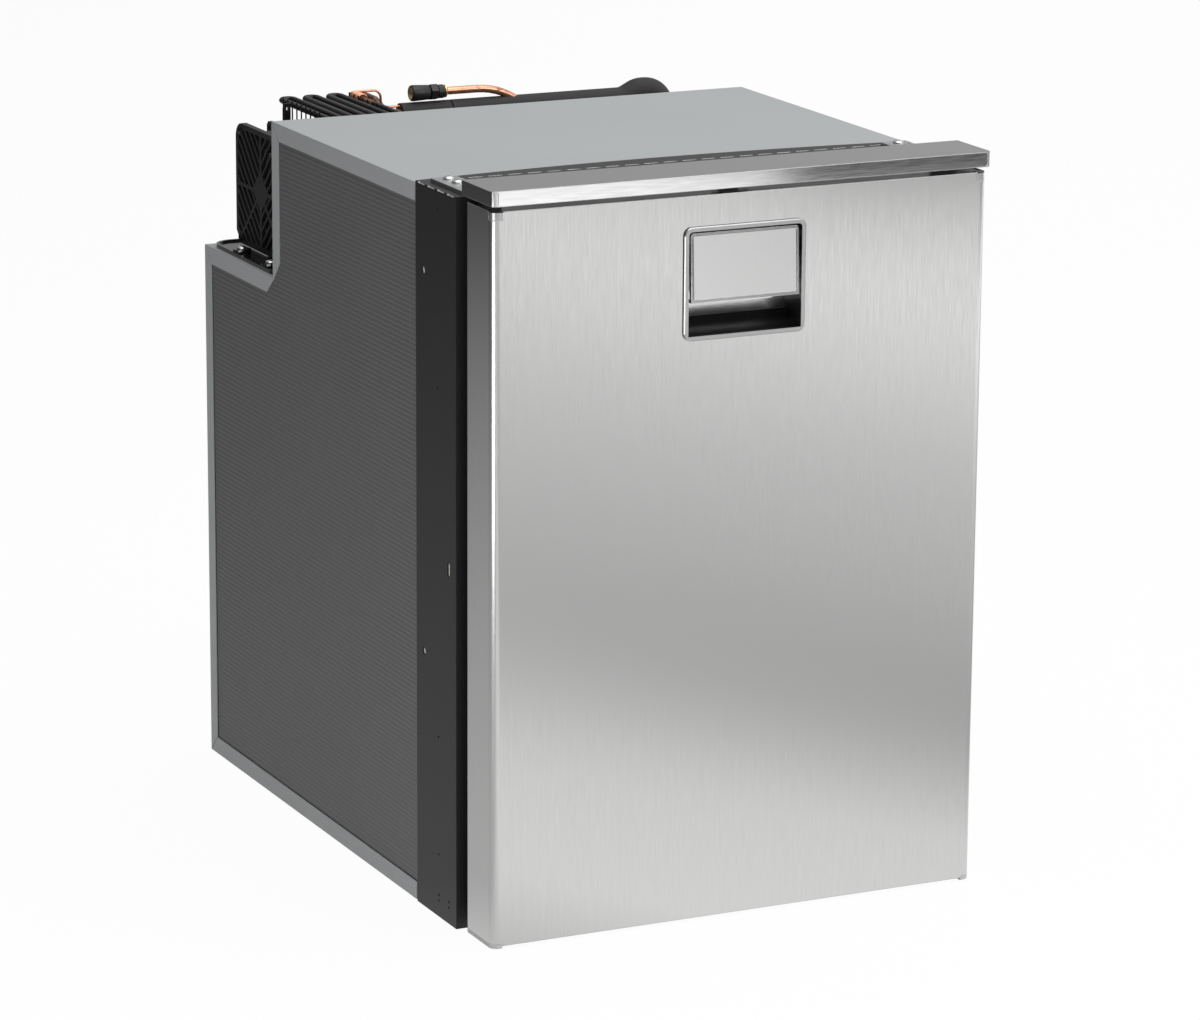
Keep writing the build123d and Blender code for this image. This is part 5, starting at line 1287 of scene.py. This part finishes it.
@dataclass(frozen=True)
class Compressor:
    """The compressor's drawn shell with its weld lip, and the rubber feet under its base.

    Attributes:
        weld_share: height of the weld as a share of the shell's.
        stub_radii: of the discharge stub and the suction stub.
        stub_lengths: of the same two.
    """

    x: float = -2.0
    y: float = COMPRESSOR_Y
    low: float = 417.6
    high: float = 491.6
    length: float = 140.0
    depth: float = 104.0
    lip: float = 3.0
    top_round: float = 24.0
    bottom_round: float = 14.4
    weld_share: float = 0.42
    stub_radii: tuple[float, float] = (3.6, 5.2)
    stub_lengths: tuple[float, float] = (16.0, 18.0)
    tray_z: float = 405.6
    foot_reach: tuple[float, float] = (73.0, 34.67)

    def section(self) -> list[tuple[float, float]]:
        """Radius and height round the shell's section, from the bottom's middle to the top's."""
        radius = self.depth / 2
        weld = self.low + (self.high - self.low) * self.weld_share
        points = [(0.0, self.low + 1.5), (radius - self.bottom_round - 8, self.low)]
        for n in range(7):
            angle = n * pi / 12
            across = radius - self.bottom_round * (1 - sin(angle))
            points.append((across, self.low + self.bottom_round * (1 - cos(angle))))
        points += [(radius, weld - 1.5), (radius + 0.6, weld - 1.2), (radius + 0.6, weld + self.lip)]
        inner = radius - self.lip * 0.9
        points += [(inner + 0.8, weld + self.lip + 0.4), (inner, weld + self.lip + 1.4)]
        for n in range(9):
            angle = n * pi / 16
            across = inner - self.top_round * (1 - cos(angle))
            points.append((across, self.high - self.top_round * (1 - sin(angle))))
        return points + [(inner - self.top_round - 14, self.high), (0.0, self.high - 0.6)]

    def build(self) -> None:
        """Draws the shell's section round a slot, and turns the stubs and feet."""
        shape = Shape()
        reach = (self.length - self.depth) / 2
        points = [Vector((self.x + reach, self.y - across, z)) for across, z in self.section()]
        chain = shape.chain(points)
        for side in (1, -1):
            centre = Vector((self.x + side * reach, self.y, 0))
            edges = shape.spin(chain, centre, Z, pi, 28)
            edges = shape.draw_out(edges, Matrix.Translation(-X * side * 2 * reach))
            chain = ends_of(edges) + edges
        stubs = zip((DISCHARGE_STUB, SUCTION_STUB), (-X, Y), self.stub_radii, self.stub_lengths)
        for end, way, radius, length in stubs:
            Tube(shape, Vector(end) - way * length, way, radius, 16).route([], end).cap()
        shape.place("compressor_body", Body.CABINET, Look.BLACK_SHELL, ["compressor_shell"])
        self.feet()

    def feet(self) -> None:
        """Four grommets with a waist and a head."""
        shape = Shape()
        rise = self.low - 1.5 - self.tray_z
        profile = [
            (0, 0), (0, 8.2), (0.6, 9.0), (rise * 0.36, 9.0), (rise * 0.44, 6.6), (rise * 0.56, 6.6),
            (rise * 0.64, 9.0), (rise, 9.0), (rise, 4.15), (rise + 1.5, 4.15), (rise + 1.5, 6.6),
            (rise + 2.2, 7.0), (rise + 3.0, 6.2), (rise + 3.5, 3.0), (rise + 2.5, 2.0), (rise + 2.5, 0),
        ]
        for x in (-self.foot_reach[0], self.foot_reach[0]):
            for y in (-self.foot_reach[1], self.foot_reach[1]):
                shape.turned(profile, (self.x + x, self.y + y, self.tray_z), Z)
        shape.place("rubber_grommets", Body.CABINET, Look.BLACK_RUBBER, ["compressor_feet"])


@dataclass(frozen=True)
class Pipes:
    """Copper and insulated pipes of the cooling unit, its drier and its service valve.

    Attributes:
        run_y: y of the runs across the unit's back.
        run_z: their height.
        hose_start: x of the hose's left end.
        hose_joint: x of the middle of the gap between its two pieces.
        hose_gap: width of that gap.
        end_x: x of the way down to the ledge.
    """

    run_y: float = 490.0
    run_z: float = 500.5
    valve_x: float = -38.5
    valve_z: float = 516.0
    hose_start: float = -47.0
    hose_joint: float = -5.5
    hose_gap: float = 1.0
    end_x: float = 177.0
    ledge_z: float = 404.1

    def build(self) -> None:
        """Makes all pipes."""
        self.suction()
        self.drier()
        self.capillary()
        self.charging()
        self.valve()

    def hump(self) -> list[tuple[Vector, float]]:
        """Corners of the suction pipe's last stretch: a small hump and the way down to the ledge."""
        top, bend, last_bend = self.run_z + 6.5, 16.0, 16.15
        corners = rounded([(141.5, self.run_y, self.run_z), (154.2, self.run_y, top)], bend)
        return corners + rounded([(self.end_x, self.run_y, top)], last_bend)

    def suction(self) -> None:
        """The bare pipe from the shell, and the foam hose over its upper run in two pieces."""
        end, (x, _, z) = (self.end_x, self.run_y, self.ledge_z), SUCTION_STUB
        shape = Shape()
        corners = rounded([(x, self.run_y, z), (x, self.run_y, self.run_z)], 8.0)
        Tube(shape, SUCTION_STUB, Y, 4.0, 20).route(corners + self.hump(), end).cap()
        shape.place("suction_tube", Body.CABINET, Look.COPPER, ["suction_pipe"])
        hose, half_gap, radius = Shape(), self.hose_gap / 2, 8.5
        first_end = (self.hose_joint - half_gap, self.run_y, self.run_z)
        first = Tube(hose, (self.hose_start, self.run_y, self.run_z), X, radius, 32)
        first.route([], first_end).cap()
        long = Tube(hose, (self.hose_joint + half_gap, self.run_y, self.run_z), X, radius, 32)
        long.route(self.hump(), end, 7.5).cap()
        hose.place("foam_hose", Body.CABINET, Look.BLACK_RUBBER, ["suction_insulation"])

    def drier(self) -> None:
        """The spun barrel of the filter drier."""
        shape = Shape()
        profile = [(0, 0), (0, 3.6), (6, 3.6), (8.5, 4.4), (12, 6.8), (15, 7.8), (18, 8.0), (66, 8.0)]
        profile += [(69, 7.8), (72, 6.6), (75.5, 3.6), (78, 2.4), (84, 2.4), (84, 0)]
        shape.turned(profile, DRIER_INLET, X, 40)
        shape.place("drier_barrel", Body.CABINET, Look.COPPER, ["filter_drier"])

    def capillary(self) -> None:
        """The thin pipe from the drier, wound round the hairpin and led into the hose."""
        shape = Shape()
        _, y, low = DRIER_INLET
        start_x, bend_x, over_x, entry_z = 24.6, 38.6, -63.0, 506.75
        loop, first_y, rise, turns = 3.884, 476.35, 24.0, 5.25
        side_x = HAIRPIN_X - loop
        tube = Tube(shape, (start_x, y, low), X, 1.0, 10)
        corners = [(bend_x, y, low), (bend_x, y, low + rise)]
        corners += [(side_x, y, low + rise), (side_x, first_y, low + rise)]
        tube.route(rounded(corners, 10.0), (side_x, first_y, TOP_ROW), 22.5)
        tube.turn(Vector((HAIRPIN_X, first_y, TOP_ROW)), Y, turns * 2 * pi, 105, self.run_y - first_y)
        over = [(over_x, self.run_y, TOP_ROW + loop), (over_x, self.run_y, entry_z)]
        tube.route(rounded(over, 6.0), (self.hose_start, self.run_y, entry_z)).cap()
        shape.place("capillary", Body.CABINET, Look.COPPER, ["capillary_tube"])

    def charging(self) -> None:
        """The pipe that arches from the service valve down into the suction pipe."""
        shape = Shape()
        start, crest = (-8.0, self.run_y, self.valve_z), (40.3, self.run_y, self.valve_z)
        end, arch = (57.4, self.run_y, self.run_z), 59.9
        Tube(shape, start, X, 3.0, 20).route(rounded([crest], arch), end, 5.0).cap()
        shape.place("charging_tube", Body.CABINET, Look.COPPER, ["charging_pipe"])

    def valve(self) -> None:
        """The brass valve body, and the black cap, nut and collar on it."""
        start = (self.valve_x, self.run_y, self.valve_z)
        shape, black = Shape(), Shape()
        body = [(0, 0), (0, 4.4), (0.3, 4.8), (0.8, 4.8), (0.8, 2.6), (27.6, 2.6), (27.6, 0)]
        ring = [(27.7, 0), (27.7, 4.3), (28.1, 4.8), (29.2, 4.9), (29.8, 4.2), (30.4, 3.6), (30.5, 0)]
        for profile in (body, ring):
            shape.turned(profile, start, X, 40)
        shape.place("valve_body", Body.CABINET, Look.BRASS, ["service_valve"])
        cap = [(0.3, 4.85), (0.3, 5.5), (0.9, 6.1), (2.2, 6.3)]
        cap += [(14.6, 5.7), (15.3, 5.2), (15.7, 4.4), (15.7, 2.6)]
        nut = [(15.7, 2.6), (15.7, 5.4), (16.3, 6.5), (21.6, 6.5), (22.2, 5.6), (22.2, 2.6)]
        collar = [(22.2, 2.6), (22.2, 4.7), (22.7, 5.3), (27.0, 5.3), (27.6, 4.6), (27.6, 2.6)]
        for profile, sides in ((cap, 48), (nut, 6), (collar, 40)):
            black.turned(profile, start, X, sides)
        black.place("valve_cap", Body.CABINET, Look.BLACK_PLASTIC, ["service_valve_cap"])


@dataclass(frozen=True)
class FanRotor:
    """The fan's hub and its seven twisted blades."""

    x0: float = -169.0
    x1: float = -150.1
    axle_end: float = -146.3
    y: float = 463.0
    z: float = 453.7
    hub: float = 18.0
    tip: float = 42.4
    blades: int = 7

    def build(self) -> None:
        """Turns the hub and sets the blades round it."""
        shape = Shape()
        hub, axle, length, axle_length = self.hub, 2.5, self.x1 - self.x0, self.axle_end - self.x0
        profile = [(0.4, 0), (0, hub - 4), (0.4, hub - 1.5), (1.6, hub - 0.2), (2.4, hub)]
        profile += [(length, hub), (length, axle), (axle_length, axle), (axle_length, 0)]
        shape.turned(profile, (self.x0, self.y, self.z), X, 56)
        for n in range(self.blades):
            self.blade(shape, n * 2 * pi / self.blades)
        shape.place("rotor_blades", Body.ROTOR, Look.BLACK_PLASTIC, ["fan_rotor"])

    def blade(self, shape: Shape, turn: float) -> None:
        """One blade, drawn out from its root ring by ring with less and less pitch."""
        half_chord, thick = (self.x1 - self.x0) * 0.56, 0.7
        outline = [(-1, 0), (-0.7, thick), (0, thick * 1.5), (0.7, thick), (1, 0)]
        outline += [(0.7, -0.1), (0, 0.3), (-0.7, -0.1)]
        before = set(shape.bm.verts)
        root, steps = self.hub - 1.0, 6
        pitch = [radians(54 - 20 * n / steps) for n in range(steps + 1)]
        points = [Vector((u * half_chord, root, w)) for u, w in outline]
        chain = shape.chain(points, closed=True)
        shape.move(chain, Matrix.Rotation(pi / 2 - pitch[0], 4, "Y"))
        first = edges = edges_in(chain)
        out = Matrix.Translation(Y * (self.tip - root) / steps)
        for this, following in zip(pitch, pitch[1:]):
            edges = shape.draw_out(edges, out @ Matrix.Rotation(this - following, 4, "Y"))
        shape.close(first, edges)
        blade = [vert for vert in shape.bm.verts if vert not in before]
        middle = Vector(((self.x0 + self.x1) / 2, self.y, self.z))
        shape.move(blade, Matrix.Translation(middle) @ Matrix.Rotation(turn, 4, "X"))
        for vert in blade:
            across = Vector((0, vert.co.y - self.y, vert.co.z - self.z))
            if across.length > self.tip:
                vert.co -= across.normalized() * (across.length - self.tip)
            vert.co.x = min(max(vert.co.x, self.x0), self.x1)


@dataclass(frozen=True)
class Lead:
    """A soft insulated lead along given points.

    Attributes:
        name: the piece's name.
        points: its way, in millimetres.
        diameter: over the insulation, in millimetres.
        look: its finish.
    """

    name: str
    points: tuple[tuple[float, float, float], ...]
    diameter: float
    look: Look

    def length(self) -> float:
        """Length in metres of the smooth curve that the points control."""
        points = [Vector(point) for point in self.points]
        ends = [points[0]] + [(a + b) / 2 for a, b in zip(points[1:-1], points[2:-1])] + [points[-1]]
        total, steps = 0.0, 24
        for start, control, end in zip(ends, points[1:-1], ends[1:]):
            last = start
            for n in range(1, steps + 1):
                t = n / steps
                here = start * (1 - t) ** 2 + control * 2 * t * (1 - t) + end * t * t
                total += (here - last).length
                last = here
        return total * MM

    def build(self, replaces: Iterable[str]) -> None:
        curve = bpy.data.curves.new(self.name, "CURVE")
        curve.dimensions = "3D"
        curve.bevel_depth = self.diameter / 2 * MM
        curve.bevel_resolution = 3
        curve.use_fill_caps = True
        spline = curve.splines.new("NURBS")
        spline.points.add(len(self.points) - 1)
        for place, point in zip(spline.points, self.points):
            place.co = (*((Vector(point) - Y * MIDDLE_Y) * MM), 1.0)
        spline.order_u = 3
        spline.use_endpoint_u = True
        spline.resolution_u = 8
        made = adopt(bpy.data.objects.new(self.name, curve), Body.CABINET, self.look, replaces)
        start = (Vector(self.points[0]) - Y * MIDDLE_Y) * MM
        self.length()
        self.diameter * MM


@dataclass(frozen=True)
class Wiring:
    """The fan's two leads and the compressor's three.

    Attributes:
        lead: diameter of a fan lead.
        bend: radius of its corners.
        fan_exit: where the first one leaves the fan.
        rise_x: x of its way up.
        over_z: height of its way over the condenser.
        fall_x: x of its way down.
        ledge_z: height of its way along the ledge.
        board_y: y of its end.
        board_x: x of the first and of the second one's end.
        compressor_lead: diameter of a compressor lead.
        hang: x, share of the spread and z of its points.
    """

    lead: float = 2.0
    bend: float = 10.0
    fan_exit: tuple[float, float, float] = (-145.5, 505.2, 479.46)
    rise_x: float = -135.5
    over_z: float = 512.5
    fall_x: float = -98.2
    ledge_z: float = 416.1
    board_y: float = 468.18
    board_x: tuple[float, float] = (134.0, 141.0)
    compressor_lead: float = 2.8
    hang: tuple[tuple[float, float, float], ...] = (
        (82.0, 0, 436.76), (88.0, 0, 436.0), (97.0, 1, 431.5), (107.0, 0, 436.0), (113.5, 0, 436.76)
    )

    def corners(self, points: list[tuple]) -> tuple:
        """The points with two more at each corner, so that the curve bends only there."""
        way = [Vector(point) for point in points]
        made = [way[0]]
        for before, corner, after in zip(way, way[1:], way[2:]):
            made += [corner + (before - corner).normalized() * self.bend, corner]
            made.append(corner + (after - corner).normalized() * self.bend)
        return tuple(tuple(point) for point in made + [way[-1]])

    def build(self) -> None:
        """Makes all leads."""
        x, first_y, z = self.fan_exit
        ledge = self.ledge_z
        for place, (colour, look) in enumerate((("red", Look.LEAD_RED), ("black", Look.LEAD_BLACK))):
            y, end_x = first_y + 1.4 * self.lead * place, self.board_x[place]
            way = [(self.rise_x, y, z), (self.rise_x, y, self.over_z), (self.fall_x, y, self.over_z)]
            way += [(self.fall_x, y, ledge), (end_x, y, ledge), (end_x, self.board_y, ledge)]
            points = ((x, y, z),) + self.corners(way)
            Lead(f"lead_{colour}", points, self.lead, look).build([f"fan_lead_{colour}"])
        for n in (-1, 0, 1):
            y = COMPRESSOR_Y + 5 * n
            points = tuple((x, y + n * spread, z) for x, spread, z in self.hang)
            lead = Lead(f"compressor_lead_{n + 2}", points, self.compressor_lead, Look.LEAD_BLACK)
            lead.build(["compressor_leads"] if n == 0 else [])


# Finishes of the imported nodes


@dataclass(frozen=True)
class PackedNodes:
    """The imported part's own nodes, which keep their meshes and take a finish each."""

    own_looks: tuple[tuple[str, Look], ...] = (
        ("trim_bar", Look.STEEL_ACROSS),
        ("drawer_skin", Look.STEEL_UPRIGHT),
        ("drawer_top_cap", Look.TOP_CAP),
        ("handle_flap", Look.FLAP_RIM),
    )

    def build(self) -> None:
        """Gives each node the finish of its slot, or its own where it has one."""
        by_slot = {look.slot: look for look in Look}
        own = dict(self.own_looks)
        for row in frame["record"]["subparts"]:
            name, slot = row["node"], row["material_slot"]
            node = frame["nodes"][name]
            node.data.materials.clear()
            node.data.materials.append(own.get(name, by_slot[slot]).material())
        log.info("%d packed nodes", len(frame["nodes"]))


# Stage, light and camera


@dataclass(frozen=True)
class Lamp:
    """A soft box that shines on the object and shows in its bright surfaces.

    Attributes:
        name: the lamp's name.
        place: where it stands, in metres.
        aim: the point that it faces.
        size: width and height in metres.
        power: in watts.
    """

    name: str
    place: tuple[float, float, float]
    aim: tuple[float, float, float]
    size: tuple[float, float]
    power: float

    def build(self) -> None:
        """Sets the lamp up, unseen by the camera."""
        data = bpy.data.lights.new(self.name, "AREA")
        data.shape = "RECTANGLE"
        data.size, data.size_y = self.size
        data.energy = self.power
        lamp = bpy.data.objects.new(self.name, data)
        bpy.context.scene.collection.objects.link(lamp)
        turn = (Vector(self.aim) - Vector(self.place)).to_track_quat("-Z", "Y").to_matrix().to_4x4()
        lamp.matrix_world = Matrix.Translation(self.place) @ turn
        lamp.visible_camera = False
        log.info("lamp %s", self.name)


@dataclass(frozen=True)
class Studio:
    """Pale surroundings and soft lamps. Their tone changes with the place, as bright pieces mirror it; the
    floor's is a painted glow that only reflections show, and its colour darkens towards the back left as
    painted shade.

    Attributes:
        floor_size: width of the floor in metres.
        card_low: left lower corner of the dark card that the right end of the front mirrors.
        card_size: width and height of that card.
        shadow: share of the floor's tone in the picture that its shadows take.
        front_tones: distance across the floor in front, in metres, and the tone of its painted glow in
            reflections.
        side_tones: distance towards the back left, in metres, and its share of that glow and of the floor's
            colour, a painted fall-off of the light.
        sky_tones: height of the direction, less on the left, and the tone of the surroundings.
        lamps: the soft boxes.
    """

    floor_size: float = 12.0
    card_low: tuple[float, float, float] = (0.69, -1.53, 0.235)
    card_size: tuple[float, float] = (0.9, 0.6)
    shadow: float = 0.04
    front_tones: tuple[tuple[float, float], ...] = (
        (-0.15, 0.52), (0.12, 0.92), (0.38, 0.88), (0.52, 0.66), (0.62, 0.50), (0.76, 0.48), (0.86, 0.53),
        (1.05, 0.62), (1.40, 0.68), (1.60, 0.76), (1.85, 1.05), (2.1, 1.5), (2.5, 1.6), (2.62, 1.0),
        (2.78, 0.1),
    )
    side_tones: tuple[tuple[float, float], ...] = ((0.2, 1.0), (1.0, 0.7), (1.9, 0.35), (2.4, 0.1))
    sky_tones: tuple[tuple[float, float], ...] = ((-0.4, 0.10), (0.4, 0.45), (0.85, 0.90), (1.2, 0.80))
    lamps: tuple[Lamp, ...] = (
        Lamp("top_box", (0.2, -0.3, 2.4), (0.0, 0.0, 0.3), (2.2, 1.6), 19.0),
        Lamp("left_box", (-1.2, -0.7, 0.16), (-0.2, 0.05, 0.0), (0.6, 0.3), 2.4),
        Lamp("right_front_box", (1.9, -2.4, 1.5), (0.0, -0.2, 0.25), (1.4, 1.8), 18.0),
    )

    def build(self) -> None:
        """Sets up the world, the floor and the lamps."""
        self.world()
        self.floor()
        self.card()
        for lamp in self.lamps:
            lamp.build()
        scene = bpy.context.scene
        scene.view_settings.view_transform = "Standard"

    def world(self) -> None:
        """White to the camera, and paler above than on the left and low behind."""
        graph = Graph(bpy.data.worlds.new("surroundings"), "Background", "Generated")
        way = graph.axis("Z") + graph.axis("X") * 0.9 - graph.axis("Y") * 0.4
        camera = graph.node("ShaderNodeLightPath", output="Is Camera Ray")
        graph.set("Color", graph.span(camera, 0, 1, graph.profile(way, self.sky_tones), 1.0))
        bpy.context.scene.world = graph.owner

    def plane(self, name: str, low: Vector, along: Vector, up: Vector) -> bpy.types.Object:
        """A flat rectangle of the stage.

        Args:
            name: its name.
            low: one corner.
            along: from that corner to the next.
            up: from that corner to the one before.
        """
        bm = bmesh.new()
        for vert in bmesh.ops.create_grid(bm, x_segments=1, y_segments=1, size=0.5)["verts"]:
            vert.co = low + along * (vert.co.x + 0.5) + up * (vert.co.y + 0.5)
        mesh = bpy.data.meshes.new(name)
        bm.to_mesh(mesh)
        bm.free()
        made = bpy.data.objects.new(name, mesh)
        bpy.context.scene.collection.objects.link(made)
        log.info("%s", name)
        return made

    def card(self) -> None:
        """A dark card that only bright pieces show."""
        width, height = self.card_size
        card = self.plane("dark_card", Vector(self.card_low), X * width, Z * height)
        card.visible_camera = card.visible_diffuse = card.visible_shadow = False
        graph = Graph(bpy.data.materials.new("dark_card"))
        graph.set("Base Color", (0.02, 0.02, 0.02, 1.0))
        graph.set("Roughness", 1.0)
        card.data.materials.append(graph.owner)

    def floor(self) -> None:
        """A wide pale floor, near white to the camera, that shows a painted glow in what mirrors it, and
        whose colour darkens towards the back left as painted shade.
        """
        corner = Vector((-self.floor_size / 2, -self.floor_size / 2, 0))
        floor = self.plane("floor", corner, X * self.floor_size, Y * self.floor_size)
        graph = Graph(bpy.data.materials.new("floor"))
        x, y = graph.axis("X"), graph.axis("Y")
        # Painted glow for glossy rays, and painted shade in the floor's colour towards the back left.
        front = graph.profile(x * 0.857 - y * 0.515, self.front_tones)
        aside = graph.profile(y * 0.6 - x * 0.8, self.side_tones)
        camera = graph.node("ShaderNodeLightPath", output="Is Camera Ray")
        glossy = graph.node("ShaderNodeLightPath", output="Is Glossy Ray")
        lit = aside * 0.92 * (1.0 - camera * (1.0 - self.shadow)) * (1.0 - glossy)
        graph.set("Base Color", lit)
        graph.set("Roughness", 1.0)
        graph.set("Specular IOR Level", 0.0)
        graph.set("Emission Color", camera * (1.0 - self.shadow) + glossy * front * aside)
        graph.set("Emission Strength", 1.0)
        floor.data.materials.append(graph.owner)


@dataclass(frozen=True)
class PictureCamera:
    """The camera that looks at the object from the picture's side.

    Attributes:
        azimuth: degrees round the object, 0 along +Y.
        elevation: degrees above the horizon.
        roll: degrees about its own axis.
        distance: to the target, in metres.
        target: in metres, in the frame.
        aside: the target's place in the picture plane, in metres.
        focal: focal length in millimetres of a sensor 36 wide.
    """

    azimuth: float = -25.492
    elevation: float = 14.232
    roll: float = 0.353
    distance: float = 3.7312
    target: tuple[float, float, float] = (0.0, -0.046, 0.2535)
    aside: tuple[float, float] = (0.00537, 0.00688)
    focal: float = 152.4

    def build(self) -> None:
        """Sets the camera up."""
        turn, rise, roll = radians(self.azimuth), radians(self.elevation), radians(self.roll)
        back = Vector((sin(turn) * cos(rise), -cos(turn) * cos(rise), sin(rise)))
        right = (-back).cross(Z).normalized()
        up = right.cross(-back)
        rolled_right = right * cos(roll) + up * sin(roll)
        rolled_up = up * cos(roll) - right * sin(roll)
        place = Vector(self.target) - rolled_right * self.aside[0] - rolled_up * self.aside[1]
        place += back * self.distance
        data = bpy.data.cameras.new("camera")
        data.lens, data.sensor_width = self.focal, 36.0
        data.clip_end = 50.0
        camera = bpy.data.objects.new("camera", data)
        bpy.context.scene.collection.objects.link(camera)
        turned = Matrix((rolled_right, rolled_up, back)).transposed().to_4x4()
        camera.matrix_world = Matrix.Translation(place) @ turned
        bpy.context.scene.camera = camera
        log.info("camera")


def write_sizes() -> None:
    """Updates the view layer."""
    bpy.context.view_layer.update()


def main() -> None:
    """Builds all sub-assemblies in order, then the stage and the camera."""
    logging.basicConfig(level=logging.INFO, format="%(message)s")
    PackedNodes().build()
    SideBoards().build()
    Screws().build()
    DoorSeal().build()
    FlapInlay().build()
    LatchSpring().build()
    Basket("lower_wire_basket", "lower_basket", 459.2, 53.0, 237.0, (90.0, 130.0, 170.0, 205.0)).build()
    Basket("upper_wire_basket", "upper_basket", 325.2, 264.0, 350.0, (295.0, 325.0)).build()
    Knob().build()
    Condenser().build()
    Compressor().build()
    Pipes().build()
    FanRotor().build()
    Wiring().build()
    write_sizes()
    Studio().build()
    PictureCamera().build()


if __name__ == "__main__":
    main()
